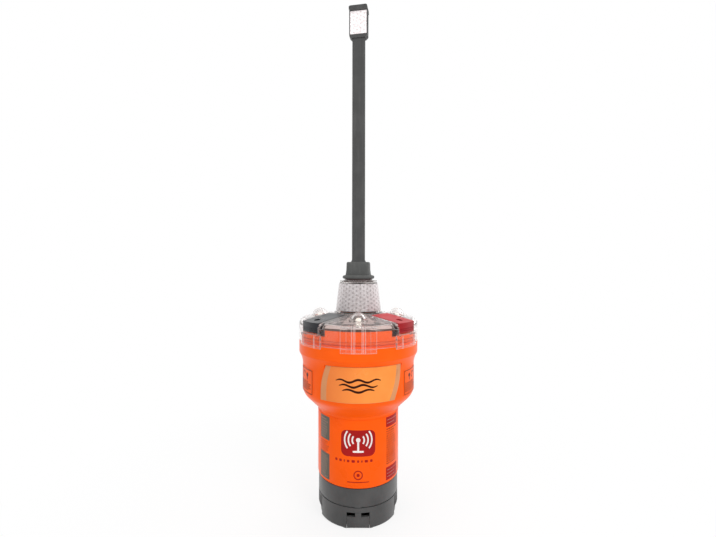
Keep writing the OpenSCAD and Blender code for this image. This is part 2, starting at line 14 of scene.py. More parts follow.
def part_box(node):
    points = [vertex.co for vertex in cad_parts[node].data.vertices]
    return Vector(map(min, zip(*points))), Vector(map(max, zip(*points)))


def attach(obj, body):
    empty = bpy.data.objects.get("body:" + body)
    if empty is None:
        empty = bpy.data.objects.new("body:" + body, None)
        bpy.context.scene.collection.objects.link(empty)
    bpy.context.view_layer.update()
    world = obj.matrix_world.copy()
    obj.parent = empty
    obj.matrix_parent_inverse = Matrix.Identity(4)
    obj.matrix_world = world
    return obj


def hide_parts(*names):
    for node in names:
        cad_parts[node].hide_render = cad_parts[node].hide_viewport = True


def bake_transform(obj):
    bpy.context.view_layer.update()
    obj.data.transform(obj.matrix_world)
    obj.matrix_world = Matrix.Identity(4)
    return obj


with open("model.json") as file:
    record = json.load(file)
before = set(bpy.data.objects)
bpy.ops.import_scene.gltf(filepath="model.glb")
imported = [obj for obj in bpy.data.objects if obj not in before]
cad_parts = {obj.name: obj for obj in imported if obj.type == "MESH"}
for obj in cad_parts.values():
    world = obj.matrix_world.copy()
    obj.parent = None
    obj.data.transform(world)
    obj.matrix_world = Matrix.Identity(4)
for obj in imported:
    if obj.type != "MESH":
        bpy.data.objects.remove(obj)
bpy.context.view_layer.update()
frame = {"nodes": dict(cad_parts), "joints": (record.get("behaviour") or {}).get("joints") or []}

MM = 0.001
FRONT = -90.0


def box_mm(node):
    """A node's lowest and highest corners in millimetres."""
    low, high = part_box(node)
    return Vector(low) / MM, Vector(high) / MM


# ---------- sizes, from the frame ----------

case_low, case_high = box_mm("main_case")
dome_low, dome_high = box_mm("dome")
cap_low, cap_high = box_mm("base_cap")
label_low, label_high = box_mm("body_label")
head_low, head_high = box_mm("head_label")
side_low, side_high = box_mm("side_labels")
tape_low, tape_high = box_mm("tower_tape")
tip_low, tip_high = box_mm("tip_cap")

JOINTS = {joint["name"]: joint for joint in frame["joints"]}
BENDS = [JOINTS[f"whip_bend_{i}"] for i in range(1, 4)]
WHIP_AXIS = Vector(BENDS[0]["axis"]).normalized()
WHIP_TURN = math.atan2(WHIP_AXIS.y, WHIP_AXIS.x)
BEND_Z = [joint["pos_m"][2] / MM for joint in BENDS]
PULLS = [JOINTS[name]["axis"] for name in ("activation_pull", "test_pull")]
ROOF_SLOPE = math.asin(-PULLS[0][2])
RED_AZ, BLACK_AZ = [math.degrees(math.atan2(axis[1], axis[0])) for axis in PULLS]
SLIDE_AZIMUTHS = (RED_AZ, BLACK_AZ)
LAMP_AZIMUTHS = (FRONT, 0.0, 90.0, 180.0)

TUBE_LABEL_T = 0.3
HEAD_LABEL_T = 0.35
TUBE_R = label_high.x
TUBE_WALL_R = TUBE_R - TUBE_LABEL_T
BASE_R = -cap_low.y
HEAD_R = -head_low.y - HEAD_LABEL_T
RIM_R = case_high.x
CASE_Z = case_low.z
RIM_Z = 141.3
COLLAR_R = 46.0
COLLAR_TOP_Z = case_high.z
TOP_Z = tip_high.z

DOME_Z = RIM_Z + 0.1
DOME_CORNER_R = 4.0
DOME_CORNER_Z = 155.3
PAD_LOW_Z = dome_low.z
SIDE_PAD_LOW_Z = 139.8
ROOF_EDGE_R = RIM_R - DOME_CORNER_R + DOME_CORNER_R * math.sin(ROOF_SLOPE)
ROOF_EDGE_Z = DOME_CORNER_Z + DOME_CORNER_R * math.cos(ROOF_SLOPE)
DOME_WALL = 2.5
TOWER_FOOT_R = 18.9
TOWER_TOP_R = 15.9
TOWER_TOP_Z = dome_high.z
LAMP_PITCH_R = 32.5
LAMP_DOME_R = 6.5
LAMP_DOME_Z = 160.1

SLIDE_W = 21.0
SLIDE_T = 3.0
CHANNEL_W = SLIDE_W + 0.3
CHANNEL_IN_X = -24.5
CHANNEL_FLOOR_Z = 150.3
LIP_R = 49.5
LIP_T = 2.9
LIP_W = SLIDE_W - 0.6
LIP_Z = 151.1

FLAP_W = 17.2
FLAP_TOP_Z = 9.5
TONGUE_W = 4.6
WINDOW_W = FLAP_W + 0.4
WINDOW_TOP_Z = 12.8
WINDOW_D = 6.2
PIN_R = 0.7
HINGE_Y = JOINTS["lanyard_flap_open"]["pos_m"][1] / MM
HINGE_Z = JOINTS["lanyard_flap_open"]["pos_m"][2] / MM

WHIP_W = 11.0
WHIP_T = 3.8
TIP_W = 15.6
TIP_D = 6.0


def roof_z(r):
    """Height of the dome's sloping top at radius r."""
    return ROOF_EDGE_Z + (ROOF_EDGE_R - r) * math.tan(ROOF_SLOPE)


# ---------- mesh tools ----------

def new_object(name, mesh_data):
    piece = bpy.data.objects.new(name, mesh_data)
    bpy.context.scene.collection.objects.link(piece)
    return piece


def from_bmesh(name, bm):
    """Closes a bmesh into an object, with its millimetres turned into metres."""
    bmesh.ops.recalc_face_normals(bm, faces=bm.faces[:])
    bmesh.ops.scale(bm, vec=(MM, MM, MM), verts=bm.verts[:])
    mesh_data = bpy.data.meshes.new(name)
    bm.to_mesh(mesh_data)
    bm.free()
    return new_object(name, mesh_data)


def rounded(points, closed=True, steps=6):
    """An outline whose corners (x, y, radius) become arcs; a corner with no radius stays sharp."""
    out = []
    count = len(points)
    for i, point in enumerate(points):
        here = Vector(point[:2])
        radius = point[2] if len(point) > 2 else 0.0
        if radius == 0.0 or (not closed and i in (0, count - 1)):
            out.append(here)
            continue
        to_last = (Vector(points[i - 1][:2]) - here).normalized()
        to_next = (Vector(points[(i + 1) % count][:2]) - here).normalized()
        half = to_last.angle(to_next) / 2
        centre = here + (to_last + to_next).normalized() * (radius / math.sin(half))
        start = here + to_last * (radius / math.tan(half)) - centre
        end = here + to_next * (radius / math.tan(half)) - centre
        turn = start.angle_signed(end)
        for k in range(steps + 1):
            a = -turn * k / steps
            c, s = math.cos(a), math.sin(a)
            out.append(centre + Vector((start.x * c - start.y * s, start.x * s + start.y * c)))
    return [(p.x, p.y) for p in out]


def lathe(name, outline, segments=192, shape=None):
    """Turns a closed outline of (r, z) about the axis. shape(azimuth, r, z) may move a point."""
    bm = bmesh.new()
    rings = []
    for r, z in outline:
        if r < 1e-6:
            rings.append([bm.verts.new((0, 0, z))] * segments)
            continue
        ring = []
        for k in range(segments):
            a = 2 * math.pi * k / segments
            rr, zz = shape(math.degrees(a), r, z) if shape else (r, z)
            ring.append(bm.verts.new((rr * math.cos(a), rr * math.sin(a), zz)))
        rings.append(ring)
    for low, high in zip(rings, rings[1:] + rings[:1]):
        for k in range(segments):
            n = (k + 1) % segments
            corners = []
            for v in (low[k], low[n], high[n], high[k]):
                if v not in corners:
                    corners.append(v)
            if len(corners) > 2:
                bm.faces.new(corners)
    return from_bmesh(name, bm)


def loft(name, sections):
    """Joins rings of (x, y, z) points and closes both ends."""
    bm = bmesh.new()
    rings = [[bm.verts.new(p) for p in ring] for ring in sections]
    for low, high in zip(rings, rings[1:]):
        for k in range(len(low)):
            n = (k + 1) % len(low)
            bm.faces.new((low[k], low[n], high[n], high[k]))
    bm.faces.new(list(reversed(rings[0])))
    bm.faces.new(rings[-1])
    return from_bmesh(name, bm)


def box_between(name, low, high, place=None):
    """A plain box, mostly a cutter, placed by a matrix in millimetres."""
    bm = bmesh.new()
    bmesh.ops.create_cube(bm, size=1)
    low, high = Vector(low), Vector(high)
    bmesh.ops.scale(bm, vec=high - low, verts=bm.verts[:])
    bmesh.ops.translate(bm, vec=(low + high) / 2, verts=bm.verts[:])
    if place is not None:
        bm.transform(place)
    return from_bmesh(name, bm)


def block(name, x0, x1, width, z0, z1, place, y=0.0):
    """A box from x0 to x1, as wide as given about y, and from z0 to z1."""
    return box_between(name, (x0, y - width / 2, z0), (x1, y + width / 2, z1), place)


def cylinder_between(name, radius, z0, z1, place=None, segments=48):
    """An upright cylinder from z0 to z1, placed by a matrix in millimetres."""
    bm = bmesh.new()
    bmesh.ops.create_cone(bm, cap_ends=True, segments=segments, radius1=radius, radius2=radius,
                          depth=z1 - z0)
    bmesh.ops.translate(bm, vec=(0, 0, (z0 + z1) / 2), verts=bm.verts[:])
    if place is not None:
        bm.transform(place)
    return from_bmesh(name, bm)


def cylinders(name, radius, z0, z1, azimuths, r, segments=48):
    """Equal upright cylinders at r from the axis, one at each azimuth."""
    return [cylinder_between(name, radius, z0, z1, turned(azimuth, r), segments) for azimuth in azimuths]


def ball(name, radius, place, segments=48):
    bm = bmesh.new()
    bmesh.ops.create_uvsphere(bm, u_segments=segments, v_segments=segments // 2, radius=radius)
    bm.transform(place)
    return from_bmesh(name, bm)


def turned(azimuth, r=0.0, z=0.0):
    """Placement at an azimuth in degrees, r out along it and z up."""
    return Matrix.Rotation(math.radians(azimuth), 4, "Z") @ Matrix.Translation((r, 0, z))


def on_roof(azimuth):
    """Placement whose x runs outward and down along the dome's slope, from the dome's top edge."""
    return turned(azimuth, ROOF_EDGE_R, ROOF_EDGE_Z) @ Matrix.Rotation(ROOF_SLOPE, 4, "Y")


def combine(target, others, operation):
    """Unites, cuts or intersects target with the other objects, which are used up."""
    for other in others:
        step = target.modifiers.new("combine", "BOOLEAN")
        step.operation = operation
        step.solver = "EXACT"
        step.object = other
    apply_modifiers(target)
    for other in others:
        bpy.data.objects.remove(other)
    return target


def unite(target, others):
    return combine(target, others, "UNION")


def cut(target, others):
    return combine(target, others, "DIFFERENCE")


def trim(target, others):
    """Keeps only what lies inside the others."""
    return combine(target, others, "INTERSECT")


def apply_modifiers(piece):
    graph = bpy.context.evaluated_depsgraph_get()
    final = bpy.data.meshes.new_from_object(piece.evaluated_get(graph))
    piece.modifiers.clear()
    piece.data = final
    final.name = piece.name


def soften(piece, width, segments=3, angle=30.0):
    """Rounds a piece's sharp edges and shades it smoothly."""
    edge = piece.modifiers.new("edges", "BEVEL")
    edge.width = width * MM
    edge.segments = segments
    edge.limit_method = "ANGLE"
    edge.angle_limit = math.radians(angle)
    edge.harden_normals = True
    edge.miter_outer = "MITER_ARC"
    smooth(piece, angle)
    return piece


def smooth(piece, angle=30.0):
    mesh_data = piece.data
    mesh_data.shade_smooth()
    mesh_data.set_sharp_from_angle(angle=math.radians(angle))
    return piece


def finish_piece(piece, finish, body, *nodes, slot=None):
    """Gives a piece its material and body, and lets it stand for CAD nodes; its slot argument is not used.
    """
    piece.data.materials.clear()
    piece.data.materials.append(MATERIALS[finish])
    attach(piece, body)
    if nodes:
        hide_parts(*nodes)

def wrap(name, radius, shapes, thickness=0.06):
    """Thin film shapes laid round the case: outlines are (arc length from the front, z)."""
    strip = 1.2
    bm = bmesh.new()
    for outline in shapes:
        bm.faces.new([bm.verts.new((u, z, 0)) for u, z in outline])
    lows = [min(u for u, _ in outline) for outline in shapes]
    highs = [max(u for u, _ in outline) for outline in shapes]
    for u in np.arange(min(lows) + strip, max(highs), strip):
        everything = bm.verts[:] + bm.edges[:] + bm.faces[:]
        bmesh.ops.bisect_plane(bm, geom=everything, plane_co=(u, 0, 0), plane_no=(1, 0, 0))
    grown = bmesh.ops.extrude_face_region(bm, geom=bm.faces[:], use_keep_orig=True)
    for item in grown["geom"]:
        if isinstance(item, bmesh.types.BMVert):
            item.co.z = thickness
    for v in bm.verts:
        angle, r, z = v.co.x / radius, radius + v.co.z, v.co.y
        v.co = (r * math.sin(angle), -r * math.cos(angle), z)
    return smooth(from_bmesh(name, bm), 40)


# ---------- flat outlines ----------

def rounded_box(width, height, radius, steps):
    """A rectangle about the origin with rounded corners."""
    half_w, half_h = width / 2, height / 2
    corners = ((-half_w, -half_h), (half_w, -half_h), (half_w, half_h), (-half_w, half_h))
    return rounded([(x, y, radius) for x, y in corners], steps=steps)


def bar(u, z, width, height, radius):
    """A bar with rounded corners about its centre."""
    return [(u + x, z + y) for x, y in rounded_box(width, height, radius, 4)]


def on_circle(u, z, radius, angle):
    return u + radius * math.cos(angle), z + radius * math.sin(angle)


def arc_band(u, z, radius, width, start, end, steps=20):
    """A band along an arc, from start to end in degrees."""
    angles = [math.radians(start + (end - start) * k / steps) for k in range(steps + 1)]
    outer = [on_circle(u, z, radius + width / 2, a) for a in angles]
    inner = [on_circle(u, z, radius - width / 2, a) for a in reversed(angles)]
    return outer + inner


def disc(u, z, radius, steps=28):
    return [on_circle(u, z, radius, 2 * math.pi * k / steps) for k in range(steps)]


def wave(u, z, length, height, width, periods, steps=64):
    """A wavy line that tapers to its ends."""
    top, bottom = [], []
    for k in range(steps + 1):
        t = k / steps
        half = width / 2 * (0.25 + 0.75 * math.sin(math.pi * t) ** 0.5)
        x = u + (t - 0.5) * length
        y = z + height / 2 * math.sin(2 * math.pi * periods * t)
        top.append((x, y + half))
        bottom.append((x, y - half))
    return bottom + top[::-1]


def text_rows(u0, u1, z_top, z_bottom, pitch, height, seed):
    """Rows of short bars that stand for small print, with no letters in them."""
    rng = np.random.default_rng(seed)
    rows = []
    z = z_top - pitch / 2
    while z > z_bottom + height:
        u = u0
        end = u1 - rng.uniform(0, 0.3) * (u1 - u0)
        while u < end - 0.8:
            width = min(rng.uniform(0.7, 2.6), end - u)
            rows.append(bar(u + width / 2, z, width, height, height * 0.3))
            u += width + height * 0.9
        z -= pitch
    return rows


# ---------- materials ----------

def plug(tree, node, inputs):
    """Sets a node's inputs; each is given a value or a socket to link from."""
    for key, value in inputs.items():
        if isinstance(value, bpy.types.NodeSocket):
            tree.links.new(value, node.inputs[key])
        else:
            node.inputs[key].default_value = value


def add(tree, kind, inputs=None, **settings):
    """Adds a shader node of a kind, with its settings and inputs."""
    node = tree.nodes.new("ShaderNode" + kind)
    for key, value in settings.items():
        setattr(node, key, value)
    plug(tree, node, inputs or {})
    return node


def shader():
    """A new material, its node tree, its surface node and the object's own coordinates."""
    material = bpy.data.materials.new("surface")
    material.use_nodes = True
    tree = material.node_tree
    where = add(tree, "TexCoord").outputs["Object"]
    return material, tree, tree.nodes["Principled BSDF"], where


def calc(tree, operation, a, b=0.0):
    return add(tree, "Math", {0: a, 1: b}, operation=operation).outputs[0]


def noise(tree, where, size_mm, detail=3.0, stretch=(1, 1, 1)):
    """Noise whose blobs are about size_mm across."""
    place = add(tree, "Mapping", {"Vector": where, "Scale": stretch}).outputs[0]
    made = add(tree, "TexNoise", {"Vector": place, "Scale": 1 / (size_mm * MM), "Detail": detail})
    return made.outputs["Fac"]


def spread(tree, value, low, high, out_low, out_high):
    """Stretches a value's range, clamped at both ends."""
    node = add(tree, "MapRange", {"Value": value, "From Min": low, "From Max": high,
                                           "To Min": out_low, "To Max": out_high})
    return node.outputs["Result"]


def mixed(tree, factor, colour_a, colour_b):
    return add(tree, "Mix", {0: factor, 6: colour_a, 7: colour_b}, data_type="RGBA").outputs[2]


def blended(tree, factor, shader_a, shader_b):
    """Two shader nodes mixed."""
    return add(tree, "MixShader", {0: factor, 1: shader_a.outputs[0], 2: shader_b.outputs[0]})


def bumps(tree, height, strength, depth_mm):
    return add(tree, "Bump", {"Strength": strength, "Distance": depth_mm * MM,
                                       "Height": height}).outputs[0]


def tint(colour, factor):
    return tuple(min(1.0, c * factor) for c in colour[:3]) + (1.0,)


def plastic(colour, roughness, grain_mm=0.5, grain=0.15, mottle=0.07, coat=0.0, glow=0.0, scuffs=0.5,
            sheen=0.5, wall=None, painted_left_shade=None):
    """Moulded plastic: slow drift of colour and gloss, a fine moulded grain and faint scuffs.

    wall paints shade onto its steep faces, which come out darker than the faces that look up, and the last
    colour paints shade that darkens it towards its left.
    """
    material, tree, surface, where = shader()
    slow = spread(tree, noise(tree, where, 14, 4), 0.35, 0.65, 0, 1)
    colour_now = mixed(tree, slow, tint(colour, 1 - mottle), tint(colour, 1 + mottle))
    if wall:
        # painted shade: faces that turn from upward to steep take the darker wall colour
        normal = add(tree, "NewGeometry").outputs["Normal"]
        facing = add(tree, "SeparateXYZ", {0: normal}).outputs["Z"]
        colour_now = mixed(tree, spread(tree, facing, 0.25, 0.6, 1, 0), colour_now, tint(wall, 1))
    if painted_left_shade:
        # painted shade: the colour darkens towards the left side
        along = add(tree, "SeparateXYZ", {0: where}).outputs["X"]
        colour_now = mixed(tree, spread(tree, along, -0.03, 0.006, 1, 0), colour_now, tint(painted_left_shade, 1))
    scratch = spread(tree, noise(tree, where, 1.4, 6, (1, 1, 0.12)), 0.62, 0.75, 0, scuffs)
    gloss = spread(tree, slow, 0, 1, roughness * 0.88, roughness * 1.12)
    plug(tree, surface, {
        "Base Color": mixed(tree, calc(tree, "MULTIPLY", scratch, 0.18), colour_now, tint(colour, 1.35)),
        "Roughness": calc(tree, "ADD", gloss, calc(tree, "MULTIPLY", scratch, 0.12)),
        "Normal": bumps(tree, noise(tree, where, grain_mm, 2), grain, 0.2),
        "IOR": 1.5, "Specular IOR Level": sheen, "Coat Weight": coat, "Coat Roughness": 0.08})
    if glow:
        plug(tree, surface, {"Subsurface Weight": glow, "Subsurface Radius": (1.0, 0.35, 0.1),
                             "Subsurface Scale": 0.002})
    return material


def printed(colour, mottle=0.04, sheen=0.2):
    """Ink on a label."""
    return plastic(colour, 0.4, 1.8, 0.05, mottle, scuffs=0.1, sheen=sheen)


def rubber(colour, roughness=0.55):
    """Moulded rubber: dull, with a fine matt grain and lighter dust in patches."""
    material, tree, surface, where = shader()
    dust = spread(tree, noise(tree, where, 9, 5), 0.45, 0.7, 0, 0.5)
    streaks = spread(tree, noise(tree, where, 2.2, 4, (1, 1, 0.08)), 0.5, 0.72, 0, 0.5)
    base = mixed(tree, dust, tint(colour, 0.92), tint(colour, 1.18))
    coarse = calc(tree, "MULTIPLY", noise(tree, where, 3.0, 3), 0.5)
    grain = calc(tree, "ADD", noise(tree, where, 0.35, 2), coarse)
    plug(tree, surface, {
        "Base Color": mixed(tree, streaks, base, tint(colour, 1.3)),
        "Roughness": spread(tree, dust, 0, 0.5, roughness, roughness + 0.12),
        "Normal": bumps(tree, grain, 0.22, 0.2), "Specular IOR Level": 0.35})
    return material


def clear_plastic(veil):
    """Clear moulded polycarbonate: it bends light for the eye, lets the light in, and has a milky veil.

    The veil is stronger at edges, which are found by how far a rounded normal leaves the true one; this
    extra milky white at the edges is a painted highlight.
    """
    # strength of the painted highlight of milky white along edges
    painted_edge_highlight = 0.8
    edge_r = 0.8 * MM
    material, tree, surface, where = shader()
    flow = noise(tree, where, 7, 2)
    plug(tree, surface, {
        "Base Color": (1.0, 0.975, 0.965, 1), "Transmission Weight": 1.0, "IOR": 1.45,
        "Roughness": spread(tree, flow, 0.3, 0.7, 0.015, 0.06), "Normal": bumps(tree, flow, 0.06, 0.6)})
    milk = add(tree, "BsdfTranslucent", {"Color": (0.95, 0.88, 0.86, 1)})
    chalk = add(tree, "BsdfDiffuse", {"Color": (0.95, 0.88, 0.87, 1)})
    eased = add(tree, "Bevel", {"Radius": edge_r}, samples=6).outputs[0]
    flat = add(tree, "NewGeometry").outputs["True Normal"]
    facing = add(tree, "VectorMath", {0: eased, 1: flat}, operation="DOT_PRODUCT").outputs["Value"]
    # the milky veil, with a painted highlight of milky white along the edges
    veil_and_edge_highlight = calc(tree, "ADD", spread(tree, facing, 0.85, 0.99, painted_edge_highlight, 0), veil)
    body = blended(tree, veil_and_edge_highlight, surface, blended(tree, 0.5, milk, chalk))
    open_way = add(tree, "BsdfTransparent", {"Color": (0.97, 0.95, 0.94, 1)})
    ray = add(tree, "LightPath").outputs
    lets_through = calc(tree, "MAXIMUM", ray["Is Shadow Ray"], ray["Is Diffuse Ray"])
    both = blended(tree, lets_through, body, open_way)
    plug(tree, tree.nodes["Material Output"], {"Surface": both.outputs[0]})
    return material


TAPE_COLUMNS = 36
TAPE_COLUMN_MM = 3.0
TAPE_ROW_MM = 3.4
TAPE_DOT_MM = 1.05


def lattice_dots(tree, across, up):
    """0 to 1 mask of round dots in staggered columns; across and up are in millimetres."""
    column = calc(tree, "DIVIDE", across, TAPE_COLUMN_MM)
    odd = calc(tree, "FLOORED_MODULO", calc(tree, "FLOOR", column), 2.0)
    row = calc(tree, "ADD", calc(tree, "DIVIDE", up, TAPE_ROW_MM), calc(tree, "MULTIPLY", odd, 0.5))
    squares = []
    for value, pitch in ((column, TAPE_COLUMN_MM), (row, TAPE_ROW_MM)):
        off = calc(tree, "MULTIPLY", calc(tree, "SUBTRACT", calc(tree, "FRACT", value), 0.5), pitch)
        squares.append(calc(tree, "MULTIPLY", off, off))
    far = calc(tree, "SQRT", calc(tree, "ADD", *squares))
    return spread(tree, far, TAPE_DOT_MM * 0.6, TAPE_DOT_MM, 1, 0)


def reflective_tape(wrapped):
    """Retroreflective sheet: pale prisms that sparkle, with darker sealed dots in a lattice. A flat sheet
    glows with a painted glow of its pale colour.
    """
    material, tree, surface, where = shader()
    part = add(tree, "SeparateXYZ", {0: where}).outputs
    if wrapped:
        angle = calc(tree, "ARCTAN2", part["Y"], part["X"])
        across = calc(tree, "MULTIPLY", angle, TAPE_COLUMNS * TAPE_COLUMN_MM / (2 * math.pi))
    else:
        across = calc(tree, "DIVIDE", part["X"], MM)
    dots = lattice_dots(tree, across, calc(tree, "DIVIDE", part["Z"], MM))
    prism = add(tree, "TexVoronoi", {"Vector": where, "Scale": 1 / (0.9 * MM)})
    sparkle = add(tree, "SeparateColor", {0: prism.outputs["Color"]}).outputs[0]
    pale = mixed(tree, sparkle, (0.62, 0.56, 0.56, 1), (0.9, 0.85, 0.86, 1))
    # a flat sheet glows in its pale colour: a painted glow for the light that the sheet sends back
    plug(tree, surface, {
        "Base Color": mixed(tree, calc(tree, "MULTIPLY", dots, 0.62), pale, (0.36, 0.31, 0.31, 1)),
        "Emission Color": pale, "Emission Strength": 0.0 if wrapped else 0.5,
        "Metallic": 0.25 if wrapped else 0.0, "Roughness": spread(tree, sparkle, 0, 1, 0.5, 0.25),
        "Coat Weight": 0.6, "Coat Roughness": 0.12, "Normal": bumps(tree, sparkle, 0.35, 0.1)})
    return material


def metal(colour, roughness, brushed=True):
    """Metal with fine drawn lines and slow tarnish."""
    material, tree, surface, where = shader()
    tarnish = spread(tree, noise(tree, where, 3, 4), 0.35, 0.7, 0, 1)
    lines = noise(tree, where, 0.4, 2, (1, 1, 0.1) if brushed else (1, 1, 1))
    plug(tree, surface, {
        "Base Color": mixed(tree, tarnish, tint(colour, 1.1), tint(colour, 0.82)), "Metallic": 1.0,
        "Roughness": spread(tree, tarnish, 0, 1, roughness, roughness + 0.15),
        "Normal": bumps(tree, lines, 0.1, 0.1)})
    return material


def cord_weave(colour):
    """Braided cord: bright yarns crossing in a fine diagonal weave."""
    material, tree, surface, where = shader()
    weave = add(tree, "TexWave", {"Vector": where, "Scale": 900.0, "Distortion": 2.0},
                bands_direction="DIAGONAL").outputs["Fac"]
    plug(tree, surface, {"Base Color": mixed(tree, weave, tint(colour, 0.5), tint(colour, 1.15)),
                         "Roughness": 0.85, "Normal": bumps(tree, weave, 0.5, 0.3)})
    return material


def glowing(colour, strength):
    """The lit phosphor of a lamp, with a fine grain."""
    material, tree, surface, where = shader()
    grains = mixed(tree, noise(tree, where, 0.8, 2), tint(colour, 0.85), tint(colour, 1.1))
    plug(tree, surface, {"Base Color": grains, "Emission Color": grains, "Emission Strength": strength,
                         "Roughness": 0.4})
    return material


ORANGE = (1.0, 0.112, 0.002)
MATERIALS = {
    "case_orange": plastic(ORANGE, 0.34, 0.7, 0.10, 0.04, coat=0.05, glow=0.03, sheen=0.14),
    # label_gloss paints shade that darkens it towards its left
    "label_gloss": plastic((1.0, 0.3, 0.055), 0.25, 1.6, 0.05, 0.04, coat=0.2, scuffs=0.1, sheen=0.3,
                           painted_left_shade=(0.8, 0.2, 0.045)),
    "label_edge": plastic((0.66, 0.28, 0.12), 0.3, 1.6, 0.05, 0.05, coat=0.2, scuffs=0.1, sheen=0.3),
    "label_wrap": plastic(ORANGE, 0.3, 1.8, 0.05, 0.03, coat=0.05, scuffs=0.05, sheen=0.14),
    "print_grey": printed((0.12, 0.115, 0.09), 0.08, 0.25),
    "print_red": printed((0.39, 0.009, 0.008), 0.06, 0.15),
    "print_dark": printed((0.04, 0.009, 0.004), 0.1, 0.15),
    "print_brown": printed((0.26, 0.025, 0.005), 0.1, 0.15),
    "print_white": printed((0.85, 0.8, 0.78)),
    "print_pale": printed((0.45, 0.25, 0.21)),
    "base_grey": plastic((0.09, 0.09, 0.09), 0.42, 0.45, 0.4, 0.1, coat=0.2),
    # frame_grey and slide_red paint shade onto their steep faces with their darker wall colours
    "frame_grey": plastic((0.62, 0.51, 0.49), 0.36, 0.6, 0.2, 0.1, sheen=0.3, wall=(0.08, 0.048, 0.036)),
    "slide_red": plastic((0.52, 0.012, 0.02), 0.42, 0.6, 0.12, 0.08, sheen=0.3, wall=(0.34, 0.006, 0.011)),
    "slide_black": plastic((0.028, 0.029, 0.034), 0.3, 0.5, 0.15, 0.1, sheen=0.35),
    "neck_dark": plastic((0.1, 0.075, 0.075), 0.16, 2.5, 0.3, 0.15, coat=0.8),
    "board_green": plastic((0.02, 0.16, 0.06), 0.35, 1.0, 0.3, 0.15, coat=0.5),
    "ceramic": plastic((0.75, 0.7, 0.6), 0.3, 0.5, 0.15, 0.06),
    "switch_glass": plastic((0.35, 0.55, 0.38), 0.12, 1.0, 0.05, 0.08, coat=0.8),
    "cell_wrap": plastic((0.06, 0.17, 0.38), 0.25, 3.0, 0.3, 0.08, coat=0.5),
    "tray_grey": plastic((0.3, 0.3, 0.3), 0.5, 0.6, 0.3, 0.08),
    "wire": plastic((0.5, 0.04, 0.03), 0.4, 0.8, 0.1, 0.08),
    "sounder_black": plastic((0.02, 0.02, 0.02), 0.45, 0.5, 0.3, 0.1),
    "sleeve_grey": rubber((0.085, 0.085, 0.084)),
    "boot_grey": rubber((0.108, 0.11, 0.107)),
    "seal_rubber": rubber((0.02, 0.02, 0.02)),
    "seal_silicone": rubber((0.85, 0.1, 0.01), 0.4),
    "clear_dome": clear_plastic(veil=0.05),
    "lamp_core": glowing((1.0, 0.93, 0.84), 0.35),
    "tape": reflective_tape(wrapped=True),
    # the flat tape glows with painted light
    "tape_painted_glow": reflective_tape(wrapped=False),
    "steel": metal((0.62, 0.61, 0.59), 0.28),
    "magnet": metal((0.7, 0.7, 0.72), 0.15, brushed=False),
    "brass": metal((0.72, 0.5, 0.22), 0.28),
    "cord": cord_weave((0.016, 0.016, 0.018)),
}
for finish, material in MATERIALS.items():
    material.name = finish
# ---------- case ----------

WALL = 2.5
TUBE_IN_R = TUBE_WALL_R - WALL
HEAD_IN_R = HEAD_R - WALL
COLLAR_IN_R = COLLAR_R - WALL
SEAL_Z = 144.5
SEAL_HALF_H = 1.4
SEAL_R = COLLAR_R - 1.5
CONE_ANGLE = math.radians(45)
NECK_BEND_R = 4.0
SHOULDER_R = 10.0
FLARE_Z = 121.5
FLARE_R = 19.0
FLARE_ANGLE = math.radians(31)
NECK_CORNER_Z = label_high.z + 0.3 + NECK_BEND_R * math.tan(CONE_ANGLE / 2)
HEAD_CORNER_Z = NECK_CORNER_Z + (HEAD_R - TUBE_WALL_R) * math.tan(CONE_ANGLE)
FLARE_CORNER_Z = FLARE_Z + FLARE_R * math.tan(FLARE_ANGLE / 2)
RIM_EDGE_Z = FLARE_CORNER_Z + (RIM_R - HEAD_R) / math.tan(FLARE_ANGLE)
SCREW_HOLE_R = 1.6
BATTERY_SCREW_R = 25.2
BATTERY_SCREW_AZIMUTHS = (30, 150, 270)
FRAME_SCREW_R = 38
FRAME_SCREW_AZIMUTHS = (45.0, 135.0, -68.0, -112.0)
WEB_T = 4
CONTACT_X = 6
CONTACT_Z = 112

main_case = lathe("main_case.shell", rounded([
    (TUBE_IN_R, CASE_Z), (TUBE_WALL_R, CASE_Z, 0.25), (TUBE_WALL_R, NECK_CORNER_Z, NECK_BEND_R),
    (HEAD_R, HEAD_CORNER_Z, SHOULDER_R), (HEAD_R, FLARE_CORNER_Z, FLARE_R), (RIM_R, RIM_EDGE_Z, 1.4),
    (RIM_R, RIM_Z, 0.5), (COLLAR_R, RIM_Z), (COLLAR_R, SEAL_Z - SEAL_HALF_H),
    (SEAL_R, SEAL_Z - SEAL_HALF_H), (SEAL_R, SEAL_Z + SEAL_HALF_H), (COLLAR_R, SEAL_Z + SEAL_HALF_H),
    (COLLAR_R, COLLAR_TOP_Z, 0.5), (COLLAR_IN_R, COLLAR_TOP_Z, 0.5), (COLLAR_IN_R, 125.5, 1),
    (HEAD_IN_R, 123.5), (HEAD_IN_R, 99.8), (TUBE_IN_R, 86.7)], steps=12), segments=256)
bosses = []
for azimuth in BATTERY_SCREW_AZIMUTHS:
    bosses.append(cylinder_between("boss", 3.4, 42, 58, turned(azimuth, BATTERY_SCREW_R)))
    bosses.append(block("web", BATTERY_SCREW_R, TUBE_WALL_R - 1, WEB_T, 42, 58, turned(azimuth)))
for azimuth in FRAME_SCREW_AZIMUTHS:
    bosses.append(cylinder_between("boss", 3.2, 116, 141, turned(azimuth, FRAME_SCREW_R)))
    bosses.append(block("web", FRAME_SCREW_R, SEAL_R, WEB_T, 116, 141, turned(azimuth)))
unite(main_case, bosses)
cuts = cylinders("hole", SCREW_HOLE_R, 41, 56, BATTERY_SCREW_AZIMUTHS, BATTERY_SCREW_R)
cuts += cylinders("hole", SCREW_HOLE_R, 119, 150, FRAME_SCREW_AZIMUTHS, FRAME_SCREW_R)
cuts += [block("notch", 40, RIM_R, 27.6, 148.6, 160, turned(azimuth)) for azimuth in SLIDE_AZIMUTHS]
